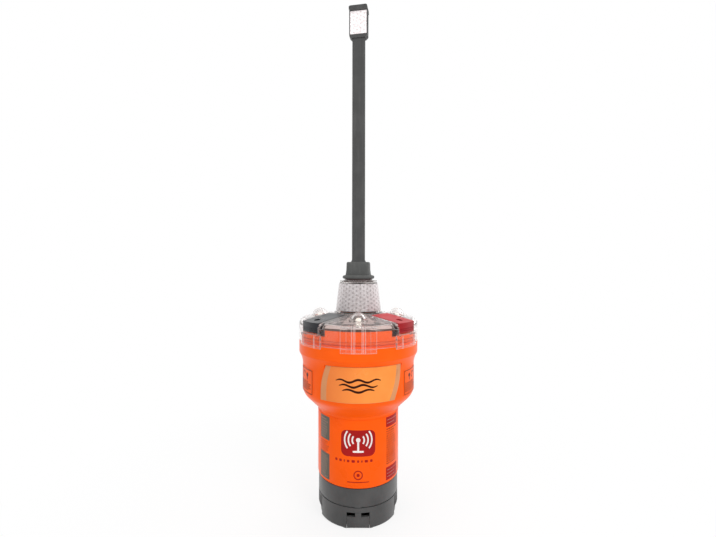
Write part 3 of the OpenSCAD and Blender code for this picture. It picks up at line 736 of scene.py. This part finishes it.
for x in (-CONTACT_X, CONTACT_X):
    backward = Matrix.Translation((x, 0, CONTACT_Z)) @ Matrix.Rotation(-math.pi / 2, 4, "X")
    cuts.append(cylinder_between("hole", SCREW_HOLE_R, HEAD_R - 4, HEAD_R + 6, backward))

# ---------- labels ----------

HEAD_FILM_R = HEAD_R + 0.03
HEAD_PRINT_R = HEAD_R + 0.3
TUBE_FILM_R = TUBE_WALL_R + 0.03
TUBE_PRINT_R = TUBE_R - 0.02
INK_LIFT = 0.05


def label_piece(name, radius, shapes, finish, thickness=0.06, node=()):
    """A film or print on the case, made of flat shapes."""
    slot = "label_gloss" if radius > HEAD_R else "label_wrap"
    finish_piece(wrap(name, radius, shapes, thickness), finish, "case", *node, slot=slot)


def bowed_panel(left, right, z0, z1, bow, steps=14):
    """A panel whose sides, given by their lower and upper ends, curve outward by bow between them."""
    out = []
    upward = range(steps + 1)
    for (low, high), swing, order in ((right, bow, upward), (left, -bow, reversed(upward))):
        for k in order:
            t = k / steps
            out.append((low + (high - low) * t + swing * math.sin(math.pi * t), z0 + (z1 - z0) * t))
    return out


def panel(sides, z0, z1, radius):
    """A rectangle between two sides, with rounded corners."""
    low, high = sides
    return bar((low + high) / 2, (z0 + z1) / 2, high - low, z1 - z0, radius)


head_bed = bowed_panel((-31.0, -26.1), (29.6, 36.0), head_low.z - 0.4, head_high.z + 0.5, 1.8)
head_film = bowed_panel((-30.3, -25.4), (28.9, 35.4), head_low.z, head_high.z, 1.8)
head_gloss = bowed_panel((-25.0, -21.0), (24.2, 31.0), head_low.z + 0.15, head_high.z - 0.15, 1.6)
cuts.append(wrap("bed", HEAD_R - 0.03, [head_bed], 6.0))
cut(main_case, cuts)
smooth(main_case, 28)
finish_piece(main_case, "case_orange", "case", "main_case")

label_piece("head_label.film", HEAD_FILM_R, [head_film], "label_edge", 0.24, ["head_label"])
label_piece("head_label.gloss", HEAD_FILM_R + 0.24, [head_gloss], "label_gloss", 0.04)
marks = [wave(0, 117.6 - 3.6 * k, 34 - 5 * k, 2.0, 1.7, 2.5 - 0.5 * k) for k in range(3)]
label_piece("head_label.mark", HEAD_PRINT_R, marks, "print_dark")

SIDE_LABEL_TURN = math.radians(63)
SIDE_LABEL_W = 23.4
side_z = (side_low.z + side_high.z) / 2
side_h = side_high.z - side_low.z
side_film, side_print, side_sign = [], [], []
for side in (-1, 1):
    middle = side * SIDE_LABEL_TURN * HEAD_R
    side_film.append(bar(middle, side_z, SIDE_LABEL_W, side_h - 0.1, 1.0))
    side_print += text_rows(middle - 9.6, middle + 9.6, 111.5, 103.6, 1.5, 0.7, 5 + side)
    for z in (side_low.z + 0.9, side_high.z - 0.9):
        side_print.append(bar(middle, z, SIDE_LABEL_W - 1.8, 0.45, 0.2))
    for u in (-10.6, 10.6):
        side_print.append(bar(middle + u, side_z, 0.45, side_h - 1.8, 0.2))
    side_sign.append(disc(middle - 3.0 * side, 116.4, 1.5))
    side_sign.append(bar(middle - 3.0 * side, 113.9, 0.9, 2.6, 0.3))
    side_sign.append(arc_band(middle + 3.5 * side, 116.0, 2.4, 0.6, 20, 250))
label_piece("side_labels.film", HEAD_FILM_R, side_film, "case_orange", 0.24, ["side_labels"])
label_piece("side_labels.print", HEAD_PRINT_R, side_print + side_sign, "print_dark")

film = lathe("body_label.film", rounded([
    (TUBE_FILM_R, label_low.z), (TUBE_PRINT_R, label_low.z, 0.1), (TUBE_PRINT_R, label_high.z, 0.1),
    (TUBE_FILM_R, label_high.z)], steps=2))
cut(film, [block("seam", 30, 40, 0.5, 20, 100, turned(90))])
smooth(film, 28)
finish_piece(film, "label_wrap", "case", "body_label")

BADGE_Z = 66.3
MAST_Z = BADGE_Z + 2.6
badge = [bar(0, BADGE_Z, 27, 20, 4.5)]
signal = [disc(0, MAST_Z, 1.7), bar(0, BADGE_Z - 2.4, 1.5, 7.6, 0.3), bar(0, BADGE_Z - 6.3, 8.4, 1.4, 0.4)]
for ring_r in (4.6, 7.6, 10.6):
    for middle in (0, 180):
        signal.append(arc_band(0, MAST_Z, ring_r, 1.2, middle - 38, middle + 38))
label_piece("body_label.badge", TUBE_PRINT_R, badge, "print_red")
label_piece("body_label.signal", TUBE_PRINT_R + INK_LIFT, signal, "print_white")

# the small print: rows below the badge, and panels with rows between them at both sides
LEFT_PANEL = (-37.2, -24.7)
RIGHT_PANEL = (23.8, 39.0)
red_print = text_rows(-18.6, 20.8, 53.9, 49.9, 2.6, 1.9, 21)
red_print += [arc_band(0, 42, 3.2, 0.8, 0, 360), disc(0, 42, 1.2), bar(0, 36.6, 17, 0.6, 0.2)]
grey_print, light_print = [], []
low_u, high_u = LEFT_PANEL
for z_low, z_high in ((64.6, 83.0), (33.8, 54.0)):
    grey_print.append(panel(LEFT_PANEL, z_low, z_high, 0.5))
    light_print += text_rows(low_u + 1.2, high_u - 1.2, z_high - 1.5, z_low + 1, 2.0, 0.55, 31)
brown_print = text_rows(low_u + 0.5, high_u - 0.5, 63.5, 54.0, 1.6, 0.5, 33)
low_u, high_u = RIGHT_PANEL
for z_low, z_high in ((75.4, 83.2), (33.8, 43.8)):
    red_print.append(panel(RIGHT_PANEL, z_low, z_high, 0.4))
    light_print += text_rows(low_u + 1.2, high_u - 1.2, z_high - 1.0, z_low + 0.4, 2.6, 0.4, 34)
dark_print = text_rows(low_u + 0.5, high_u - 0.5, 74.6, 45.0, 1.8, 0.7, 36)
label_piece("body_label.red", TUBE_PRINT_R, red_print, "print_red")
label_piece("body_label.grey", TUBE_PRINT_R, grey_print, "print_grey")
label_piece("body_label.rows", TUBE_PRINT_R, brown_print, "print_brown")
label_piece("body_label.notes", TUBE_PRINT_R, dark_print, "print_dark")
label_piece("body_label.light", TUBE_PRINT_R + INK_LIFT, light_print, "print_pale")
# ---------- base ----------

BASE_FOOT_R = 1.5
SEAM_R = BASE_R - 1.4
CAP_H = cap_high.z - 4
CAP_FLOOR_Z = 2.4
CAP_WALL_R = BASE_R - 2.4
SPIGOT_R = BASE_R - 2.9
SPIGOT_IN_R = CAP_WALL_R - 1.5
GRIP_LOW_Z = 6.5
GRIP_TOP_Z = CAP_H - 1.2
GRIP_HALF_ANGLE = 28
GRIP_RIBS = 180
GRIP_RIB_D = 0.35
EAR_W = 2.6


def grip(azimuth, r, z):
    """Fine upright ribs on the two grip areas."""
    from_side = min(azimuth % 180, 180 - azimuth % 180)
    if r < BASE_R - 0.4 or from_side > GRIP_HALF_ANGLE or not GRIP_LOW_Z < z < GRIP_TOP_Z:
        return r, z
    rib = 0.5 + 0.5 * math.cos(math.radians(azimuth) * GRIP_RIBS)
    return r - GRIP_RIB_D * rib, z


base_cap = lathe("base_cap.shell", rounded([
    (0, 0), (BASE_R, 0, BASE_FOOT_R), (BASE_R, GRIP_LOW_Z - 0.1), (BASE_R, GRIP_LOW_Z + 0.1),
    (BASE_R, GRIP_TOP_Z - 0.1), (BASE_R, GRIP_TOP_Z + 0.1), (BASE_R, CAP_H - 0.55, 0.2),
    (SEAM_R, CAP_H - 0.55), (SEAM_R, CAP_H), (SPIGOT_R, CAP_H), (SPIGOT_R, CAP_H + 4, 0.3),
    (SPIGOT_IN_R, CAP_H + 4, 0.3), (SPIGOT_IN_R, CAP_H - 1), (CAP_WALL_R, CAP_H - 2.5),
    (CAP_WALL_R, CAP_FLOOR_Z, 0.8), (0, CAP_FLOOR_Z)]), segments=720, shape=grip)
ears = []
for side in (-1, 1):
    middle = side * (WINDOW_W + EAR_W) / 2
    ear = box_between("ear", (middle - EAR_W / 2, -BASE_R, 0.05), (middle + EAR_W / 2, -BASE_R + 8, 5.5))
    reach = cylinder_between("reach", BASE_R - 0.6, -1, 20, segments=256)
    ears.append(trim(ear, [reach]))
unite(base_cap, ears)
pin_way = Matrix.Translation((0, HINGE_Y, HINGE_Z)) @ Matrix.Rotation(math.pi / 2, 4, "Y")
window = box_between("window", (-WINDOW_W / 2, -BASE_R - 1, -1),
                     (WINDOW_W / 2, -BASE_R + WINDOW_D, WINDOW_TOP_Z))
cuts = [window,
        box_between("notch", (-2.75, -BASE_R - 1, CAP_H - 0.8), (2.75, -BASE_R + 2.7, CAP_H + 1)),
        cylinder_between("pin", PIN_R + 0.04, -10.8, 10.8, pin_way)]
for side in (0, 180):
    scallop = lathe("scallop", [(31.4, -1), (31.4, 5.4), (BASE_R + 1, 8), (BASE_R + 1, -1)])
    wedge = block("wedge", 5, 50, 31, -2, 20, turned(side))
    cuts.append(trim(scallop, [wedge]))
cuts += cylinders("drain", 1.5, -1, 4, (30, 150, 210, 330), 22, 32)
cut(base_cap, cuts)
smooth(base_cap, 35)
finish_piece(base_cap, "base_grey", "case", "base_cap")

COVER_Z = 22
COVER_FLOOR_Z = 24.5
PLUG_R = TUBE_IN_R - 0.15
PLUG_IN_R = TUBE_IN_R - 2.4
PLUG_GROOVE_R = TUBE_IN_R - 1.6
PLUG_TOP_Z = 39.5
cover = lathe("battery_cover.shell", rounded([
    (0, COVER_Z), (TUBE_IN_R - 1, COVER_Z), (BASE_R - 2.7, COVER_Z), (BASE_R - 2.7, CAP_H + 0.1),
    (BASE_R, CAP_H + 0.1, 0.35), (BASE_R, CASE_Z - 0.75, 0.2), (SEAM_R, CASE_Z - 0.75),
    (SEAM_R, CASE_Z - 0.3), (PLUG_R, CASE_Z - 0.3), (PLUG_R, 34.8), (PLUG_GROOVE_R, 34.8),
    (PLUG_GROOVE_R, 37.2), (PLUG_R, 37.2), (PLUG_R, PLUG_TOP_Z, 0.3), (PLUG_IN_R, PLUG_TOP_Z, 0.3),
    (PLUG_IN_R, COVER_FLOOR_Z), (0, COVER_FLOOR_Z)], steps=5), segments=256)
posts = cylinders("post", 3.0, 24, 41.9, BATTERY_SCREW_AZIMUTHS, BATTERY_SCREW_R)
posts.append(block("tooth", BASE_R - 2.4, BASE_R - 0.15, 5, CAP_H - 0.5, CAP_H + 1, turned(FRONT)))
unite(cover, posts)
cuts = cylinders("hole", SCREW_HOLE_R, 20, 50, BATTERY_SCREW_AZIMUTHS, BATTERY_SCREW_R)
cuts.append(cylinder_between("vent", 1.3, 20, 31))
cut(cover, cuts)
smooth(cover, 28)
finish_piece(cover, "base_grey", "case", "battery_cover")

flap = box_between("lanyard_flap.plate", (-FLAP_W / 2, -BASE_R - 1, HINGE_Z),
                   (FLAP_W / 2, -BASE_R + 2.5, FLAP_TOP_Z))
tongue = box_between("tongue", (-TONGUE_W / 2, -BASE_R - 1, FLAP_TOP_Z - 1),
                     (TONGUE_W / 2, -BASE_R + 2, WINDOW_TOP_Z - 0.15))
barrel = cylinder_between("barrel", HINGE_Z - 0.02, -FLAP_W / 2 + 0.01, FLAP_W / 2 - 0.01, pin_way, 64)
unite(flap, [barrel, tongue])
trim(flap, [cylinder_between("skin", BASE_R, -1, 20, segments=256)])
cut(flap, [cylinder_between("way", PIN_R + 0.05, -FLAP_W, FLAP_W, pin_way, 24)])
soften(flap, 0.3)
finish_piece(flap, "base_grey", "flap", "lanyard_flap")
# ---------- dome ----------

SKIRT_IN_R = RIM_R - DOME_WALL
ROOF_IN_R = 45.2
TOWER_FOOT_Z = roof_z(TOWER_FOOT_R)
STUD_HOLE_R = 4.1
CURB_H = 1.5
CURB_IN_R = 13.4
PAD_W = 26.6
PAD_R = dome_high.y
PAD_TOP_Z = 158.3
PAD_EDGE_R = 0.9
PAD_GROOVES = ((-9.6, 1.4), (-4.4, 1.4), (0, 5.2), (4.4, 1.4), (9.6, 1.4))
SIDE_PAD_R = 50.6
SIDE_PAD_TOP_Z = CHANNEL_FLOOR_Z - 0.1
SIDE_PAD_EDGE_R = 2.6
SIDE_PAD_GROOVES = ((-7.4, 1.2), (7.4, 1.2))
CHANNEL_D = SLIDE_T + 0.1
LAMP_HOLLOW_R = LAMP_DOME_R - 1.8

dome = lathe("dome.shell", rounded([
    (SKIRT_IN_R, DOME_Z), (RIM_R, DOME_Z, 0.3), (RIM_R, roof_z(RIM_R), DOME_CORNER_R),
    (TOWER_FOOT_R, TOWER_FOOT_Z, 2.2), (TOWER_TOP_R, TOWER_TOP_Z, 0.8), (STUD_HOLE_R, TOWER_TOP_Z),
    (STUD_HOLE_R, TOWER_TOP_Z - DOME_WALL), (TOWER_TOP_R - DOME_WALL, TOWER_TOP_Z - DOME_WALL, 1.0),
    (TOWER_FOOT_R - DOME_WALL, TOWER_FOOT_Z - DOME_WALL, 1.5),
    (ROOF_IN_R, roof_z(ROOF_IN_R) - DOME_WALL, 1.6), (SKIRT_IN_R, 154.6, 1.2)], steps=8))


def skirt_pad(azimuth, radius, low_z, top_z, edge_r, grooves):
    """A thick pad that hangs a little over the rim; a groove is given by its middle and its width."""
    piece = lathe("pad", rounded([
        (ROOF_IN_R, DOME_Z), (RIM_R + 0.1, DOME_Z), (RIM_R + 0.1, low_z, 0.2), (radius, low_z, 0.4),
        (radius, top_z, edge_r), (ROOF_IN_R, top_z)]), 256)
    place = turned(azimuth)
    part = block("part", ROOF_IN_R + 0.5, radius + 1, PAD_W, low_z - 1, top_z + 1, place)
    trim(piece, [part])
    cutters = [block("groove", radius - 0.9, radius + 2, width, low_z - 2, top_z + 2, place, y)
               for y, width in grooves]
    return cut(piece, cutters)


pads = [skirt_pad(azimuth, PAD_R, PAD_LOW_Z, PAD_TOP_Z, PAD_EDGE_R, PAD_GROOVES) for azimuth in (FRONT, 90)]
pads += [skirt_pad(azimuth, SIDE_PAD_R, SIDE_PAD_LOW_Z, SIDE_PAD_TOP_Z, SIDE_PAD_EDGE_R, SIDE_PAD_GROOVES)
         for azimuth in SLIDE_AZIMUTHS]
lamp_places = [turned(azimuth, LAMP_PITCH_R, LAMP_DOME_Z) for azimuth in LAMP_AZIMUTHS]
lamps = [ball("lamp", LAMP_DOME_R, place, 64) for place in lamp_places]
walls = [block("wall", CHANNEL_IN_X - 2, 1.5, CHANNEL_W + 4, -CHANNEL_D - 1.8, -1.0, on_roof(azimuth))
         for azimuth in SLIDE_AZIMUTHS]
curb = lathe("curb", rounded([
    (CURB_IN_R, TOWER_TOP_Z - 1), (TOWER_TOP_R - 0.4, TOWER_TOP_Z - 1),
    (TOWER_TOP_R - 0.2, TOWER_TOP_Z + CURB_H, 0.3), (CURB_IN_R, TOWER_TOP_Z + CURB_H, 0.3)], steps=3))
unite(dome, pads + lamps + walls + [curb])
cuts = [ball("hollow", LAMP_HOLLOW_R, place) for place in lamp_places]
cuts += cylinders("throat", LAMP_HOLLOW_R, 150, LAMP_DOME_Z, LAMP_AZIMUTHS, LAMP_PITCH_R)
for azimuth in SLIDE_AZIMUTHS:
    place = on_roof(azimuth)
    cuts += [block("channel", CHANNEL_IN_X, 30, CHANNEL_W, -CHANNEL_D, 10, place),
             block("keys", CHANNEL_IN_X, 12, CHANNEL_W + 1.6, -CHANNEL_D, -CHANNEL_D + 1.3, place),
             block("lip", RIM_R - LIP_T - 0.25, 60, LIP_W + 0.3, CHANNEL_FLOOR_Z, 170, turned(azimuth))]
cut(dome, cuts)
smooth(dome, 32)
finish_piece(dome, "clear_dome", "case", "dome")


def tower_r(z):
    """The tower's radius at height z."""
    return TOWER_FOOT_R - (z - TOWER_FOOT_Z) / (TOWER_TOP_Z - TOWER_FOOT_Z) * (TOWER_FOOT_R - TOWER_TOP_R)


TAPE_GAP = 0.08
TAPE_OUT = 0.4
tape_low_r = tower_r(tape_low.z)
tape_high_r = tower_r(tape_high.z)
tower_tape = lathe("tower_tape.sheet", rounded([
    (tape_low_r + TAPE_GAP, tape_low.z), (tape_low_r + TAPE_OUT, tape_low.z, 0.12),
    (tape_high_r + TAPE_OUT, tape_high.z, 0.12), (tape_high_r + TAPE_GAP, tape_high.z)], steps=3))
cut(tower_tape, [block("seam", 10, 30, 0.4, 150, 200, turned(90))])
smooth(tower_tape, 28)
finish_piece(tower_tape, "tape", "case", "tower_tape")
# ---------- slides ----------

FINGER_X = -4.4
POCKET_X = -11
HOLLOW_R = 2.6
RIDGE_H = 0.6


def slide(name, azimuth):
    """A sloping plate with keys at its sides, a ridged lip over the dome's edge and two round hollows."""
    plate_in = CHANNEL_IN_X + 0.4
    place = on_roof(azimuth)
    piece = block(name, plate_in, 6, SLIDE_W, -SLIDE_T, 0, place)
    unite(piece, [
        block("keys", plate_in + 0.01, -2.2, SLIDE_W + 1.3, -SLIDE_T + 0.01, -SLIDE_T + 1, place),
        block("lip", RIM_R - LIP_T, 55, LIP_W, LIP_Z, 158.6, turned(azimuth))])
    trim(piece, [cylinder_between("skin", LIP_R, 100, 200, segments=256)])
    trim(piece, [block("top", -40, 20, 40, -20, -0.02, place)])
    finger = place @ Matrix.Translation((FINGER_X, 0, 0))
    pocket = place @ Matrix.Translation((POCKET_X, 0, 0))
    cuts = [cylinder_between("finger", HOLLOW_R, -1.7, 5, finger),
            cylinder_between("pocket", HOLLOW_R, -SLIDE_T - 1, -SLIDE_T + 1.65, pocket)]
    for z in (152.4, 153.9):
        top_z = z + RIDGE_H
        outline = [(LIP_R - 0.5, z), (LIP_R - 0.5, top_z), (LIP_R + 2, top_z), (LIP_R + 2, z)]
        part = block("part", 40, 60, LIP_W - 3, z - 1, z + 2, turned(azimuth))
        cuts.append(trim(lathe("ridge", outline, 256), [part]))
    return cut(piece, cuts)


red_slide = slide("activation_slide.body", RED_AZ)
black_slide = slide("test_slide.body", BLACK_AZ)
spring_groove = block("groove", CHANNEL_IN_X - 1, -7, 3, -SLIDE_T - 1, -SLIDE_T + 2, on_roof(BLACK_AZ), 6.5)
cut(black_slide, [spring_groove])
for piece in (red_slide, black_slide):
    soften(piece, 0.35)
finish_piece(red_slide, "slide_red", "activation", "activation_slide")
finish_piece(black_slide, "slide_black", "test", "test_slide")
# ---------- antenna foot ----------

STUD_R = 4
NECK_R = 12.9
FLANGE_R = 13.4
FLANGE_Z = box_mm("antenna_boot")[0].z
BLOCK_TOP_Z = 205.5
WHIP_PLACE = Matrix.Rotation(WHIP_TURN, 4, "Z")

neck = lathe("antenna_base.neck", rounded([
    (0, box_mm("antenna_base")[0].z), (STUD_R, box_mm("antenna_base")[0].z, 0.4),
    (STUD_R, TOWER_TOP_Z + 0.05), (NECK_R, TOWER_TOP_Z + 0.05, 0.6), (NECK_R - 0.3, TOWER_TOP_Z + 1.5, 0.5),
    (NECK_R - 1.3, TOWER_TOP_Z + 1.9, 0.4), (NECK_R - 0.7, FLANGE_Z - 0.1), (0, FLANGE_Z - 0.1)]), 160)
smooth(neck, 30)
finish_piece(neck, "neck_dark", "case", "antenna_base")


def level_ring(width, depth, radius, z, steps=6):
    """A level ring of points: a rectangle with rounded corners, turned with the whip."""
    return [WHIP_PLACE @ Vector((x, y, z)) for x, y in rounded_box(width, depth, radius, steps)]


# (z, width, depth, corner radius) of the boot's block
BLOCK_SECTIONS = (
    (193.2, 21.4, 13.2, 2.2), (194.2, 20.6, 12.4, 1.6), (196.2, 19.8, 11.6, 1.2),
    (199.0, 19.1, 11.0, 1.0), (204.2, 18.8, 10.7, 1.0), (205.0, 18.4, 10.3, 0.9),
    (BLOCK_TOP_Z, 17.4, 9.3, 0.8))
boot = lathe("antenna_boot.foot", rounded([
    (0, FLANGE_Z), (FLANGE_R, FLANGE_Z, 0.5), (FLANGE_R, FLANGE_Z + 2.1, 0.7),
    (FLANGE_R - 1.9, FLANGE_Z + 2.9, 1.5), (0, FLANGE_Z + 3.1)]), 160)
block_rings = [level_ring(width, depth, corner, z) for z, width, depth, corner in BLOCK_SECTIONS]
unite(boot, [loft("block", block_rings)])
smooth(boot, 40)
finish_piece(boot, "boot_grey", "case", "antenna_boot", slot="sleeve_grey")

# ---------- whip ----------

WHIP_CORNER_R = 1.3
HALF_PITCH = (BEND_Z[1] - BEND_Z[0]) / 2
RING_STEP = 0.9
SWELL_H = 2.6


def whip_length(name, z0, z1):
    """A closed length of the flat whip, thicker at the boot, with many rings so that it can bend."""
    count = max(2, round((z1 - z0) / RING_STEP))
    sections = []
    for k in range(count + 1):
        z = z0 + (z1 - z0) * k / count
        swell = max(0.0, 1 - max(0.0, z - BLOCK_TOP_Z + 0.3) / SWELL_H) ** 2
        sections.append(level_ring(WHIP_W + 2.5 * swell, WHIP_T + 2.4 * swell, WHIP_CORNER_R, z, 5))
    piece = loft(name, sections)
    smooth(piece, 40)
    piece.data.materials.append(MATERIALS["sleeve_grey"])
    return piece


for k, bend in enumerate(BEND_Z):
    start_z = BLOCK_TOP_Z - 1.2 if k == 0 else bend - HALF_PITCH
    sleeve = whip_length(f"whip_sleeve_{k + 1}", start_z, bend + HALF_PITCH)
    if k < len(BEND_Z) - 1:
        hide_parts(f"flex_link_{k + 1}")
    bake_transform(sleeve)

blade = whip_length("whip_blade", BEND_Z[-1] + HALF_PITCH, tip_low.z + 5.9)
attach(blade, "blade")
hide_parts("antenna_blade")

# ---------- tip ----------

TIP_HOOK = 2.4
LIP_H = 3.4
SOCKET_GAP = 0.05
RECESS_EDGE = 0.7
TIP_TAPE_T = 0.34


def chamfered_plate(name, width, depth, z0, z1, low, high):
    """A plate with its lower and upper corners cut, turned with the whip."""
    half = width / 2
    outline = [(-half + low, z0), (half - low, z0), (half, z0 + low), (half, z1 - high),
               (half - high, z1), (-half + high, z1), (-half, z1 - high), (-half, z0 + low)]
    faces = [[WHIP_PLACE @ Vector((x, y, z)) for x, z in outline] for y in (-depth / 2, depth / 2)]
    return loft(name, faces)


def whip_box(name, width, depth, z0, z1, y=0.0):
    """A box about the whip's axis, turned with the whip."""
    return block(name, -width / 2, width / 2, depth, z0, z1, WHIP_PLACE, y)


tip = chamfered_plate("tip_cap.body", TIP_W, TIP_D, tip_low.z, TOP_Z, 1.9, 0.6)
lip = chamfered_plate("lip", TIP_W, TIP_D + 2 * TIP_HOOK, TOP_Z - LIP_H, TOP_Z, 0.6, 0.8)
unite(tip, [lip])
recesses = [whip_box("socket", WHIP_W + 2 * SOCKET_GAP, WHIP_T + 2 * SOCKET_GAP, tip_low.z - 1,
                     tip_low.z + 6.1)]
tapes = []
for side in (-1, 1):
    recesses.append(whip_box("recess", TIP_W - 2 * RECESS_EDGE, 0.8, tip_low.z + 3, TOP_Z - LIP_H,
                             side * TIP_D / 2))
    tapes.append(whip_box("tip_tapes.sheets", TIP_W - 2 * RECESS_EDGE - 0.2, TIP_TAPE_T, tip_low.z + 3.1,
                          TOP_Z - LIP_H - 0.1, side * (TIP_D / 2 - 0.2)))
cut(tip, recesses)
soften(tip, 0.35)
finish_piece(tip, "sleeve_grey", "blade", "tip_cap")
tip_tapes = unite(tapes[0], tapes[1:])
soften(tip_tapes, 0.1, 2)
# the tip's tapes take the flat tape with its painted glow
finish_piece(tip_tapes, "tape_painted_glow", "blade", "tip_tapes", slot="tape")

# ---------- finishes of the CAD nodes that keep their shape ----------

NODE_FINISHES = {
    "steel": ("water_contacts", "base_screws", "flap_pin", "return_spring", "frame_screws", "shield_can",
              "radiator_strip"),
    "seal_rubber": ("base_seal", "antenna_seal"), "seal_silicone": ("dome_seal",),
    "tray_grey": ("lanyard_spool", "battery_tray", "battery_clamp"), "cord": ("lanyard",),
    "magnet": ("activation_magnet", "test_magnet"), "switch_glass": ("reed_switches",),
    "board_green": ("main_board",), "ceramic": ("position_antenna",), "sounder_black": ("sounder",),
    "cell_wrap": ("battery_cells",), "wire": ("battery_lead", "antenna_feed"), "brass": ("antenna_nut",),
    "frame_grey": ("inner_frame",), "lamp_core": ("strobe_leds",),
}
for finish, nodes in NODE_FINISHES.items():
    for node in nodes:
        for each in frame["nodes"][node].material_slots:
            each.material = MATERIALS[finish]

# ---------- camera, light and floor ----------

LENS_MM = 19.508
SENSOR_MM = 36.0
CAMERA_PLACE = (-0.0004, -0.330, 0.200)
CAMERA_ROLL = math.radians(-0.1)

camera_data = bpy.data.cameras.new("camera")
camera_data.lens = LENS_MM
camera_data.sensor_width = SENSOR_MM
camera_data.clip_start = 0.01
camera = new_object("camera", camera_data)
camera.location = CAMERA_PLACE
camera.rotation_euler = (math.pi / 2, CAMERA_ROLL, 0)
bpy.context.scene.camera = camera


def soft_light(name, place, size, power):
    """A large rectangular lamp that looks at the middle of the object."""
    data = bpy.data.lights.new(name, "AREA")
    data.shape = "RECTANGLE"
    data.size, data.size_y = size
    data.energy = power
    lamp = new_object(name, data)
    lamp.location = place
    lamp.visible_glossy = False
    lamp.rotation_euler = (Vector((0, 0, 0.15)) - Vector(place)).to_track_quat("-Z", "Y").to_euler()


soft_light("key", (0.6, -0.75, 0.65), (0.5, 0.7), 5.2)
soft_light("fill", (-0.8, -0.55, 0.3), (0.6, 0.8), 1.8)
soft_light("top", (0.0, 0.1, 1.1), (0.9, 0.9), 3.0)
soft_light("back", (0.5, 0.8, 0.5), (0.6, 0.6), 1.5)

AMBIENT = 0.55
SEEN_WHITE = 1.0
SEEN_DARK = 0.06


def surroundings(tree, direction):
    """What a looking ray meets: white for the camera, and for reflections white ahead and dark behind it.

    Returns whether the ray looks at all, how bright its view is, and whether it was bent on its way.
    """
    ray = add(tree, "LightPath").outputs
    camera_way = add(tree, "VectorTransform", {0: direction}, vector_type="VECTOR",
                     convert_from="WORLD", convert_to="CAMERA").outputs[0]
    ahead = add(tree, "SeparateXYZ", {0: camera_way}).outputs["Z"]
    reflected = spread(tree, ahead, -0.3, 0.4, SEEN_DARK, SEEN_WHITE)
    refracted = spread(tree, ahead, 0.35, 0.8, SEEN_DARK, SEEN_WHITE)
    through = ray["Is Transmission Ray"]
    bounced = calc(tree, "ADD", calc(tree, "MULTIPLY", refracted, through),
                   calc(tree, "MULTIPLY", reflected, calc(tree, "SUBTRACT", 1.0, through)))
    bent = calc(tree, "MAXIMUM", ray["Is Glossy Ray"], through)
    seen = calc(tree, "MAXIMUM", bent, ray["Is Camera Ray"])
    brightness = calc(tree, "MAXIMUM", calc(tree, "MULTIPLY", bent, bounced), ray["Is Camera Ray"])
    return seen, brightness, bent


world = bpy.data.worlds.new("studio")
world.use_nodes = True
world.cycles.sampling_method = "NONE"
sky_tree = world.node_tree
sky_way = add(sky_tree, "TexCoord").outputs["Generated"]
sky_seen, sky_brightness, _ = surroundings(sky_tree, sky_way)
sky_strength = add(sky_tree, "Mix", {0: sky_seen, 2: AMBIENT, 3: sky_brightness}, data_type="FLOAT")
plug(sky_tree, sky_tree.nodes["Background"], {"Color": (1, 1, 1, 1), "Strength": sky_strength.outputs[0]})
bpy.context.scene.world = world
bpy.context.scene.view_settings.view_transform = "Standard"

# the floor is matt near the object, for its soft shadow, and runs out into the white studio
FLOOR_R = 4000
FLOOR_NEAR = 0.03
FLOOR_FAR = 0.3
FLOOR_GLOW = 0.82
FLOOR_WHITE = ((0.93, 0.93, 0.93, 1), (0.96, 0.96, 0.96, 1))
floor_bm = bmesh.new()
bmesh.ops.create_circle(floor_bm, cap_ends=True, segments=64, radius=FLOOR_R)
floor = from_bmesh("floor", floor_bm)
floor.location = (0, 0, -0.0001)
floor_material, floor_tree, floor_surface, floor_where = shader()
floor_material.name = "floor"
plug(floor_tree, floor_surface, {
    "Base Color": mixed(floor_tree, noise(floor_tree, floor_where, 40, 3), *FLOOR_WHITE),
    "Roughness": 0.8, "Specular IOR Level": 0.1})
floor_far = add(floor_tree, "VectorMath", {0: floor_where}, operation="LENGTH").outputs["Value"]
incoming = add(floor_tree, "NewGeometry").outputs["Incoming"]
floor_way = add(floor_tree, "VectorMath", {0: incoming, "Scale": -1.0}, operation="SCALE")
floor_seen, floor_brightness, floor_bent = surroundings(floor_tree, floor_way.outputs[0])
floor_white = add(floor_tree, "Emission", {"Color": (1, 1, 1, 1), "Strength": floor_brightness})
floor_share = calc(floor_tree, "MULTIPLY", floor_seen,
                   spread(floor_tree, floor_far, FLOOR_NEAR, FLOOR_FAR, FLOOR_GLOW, 1))
floor_share = calc(floor_tree, "MAXIMUM", floor_share, floor_bent)
floor_mix = blended(floor_tree, floor_share, floor_surface, floor_white)
plug(floor_tree, floor_tree.nodes["Material Output"], {"Surface": floor_mix.outputs[0]})
floor.data.materials.append(floor_material)
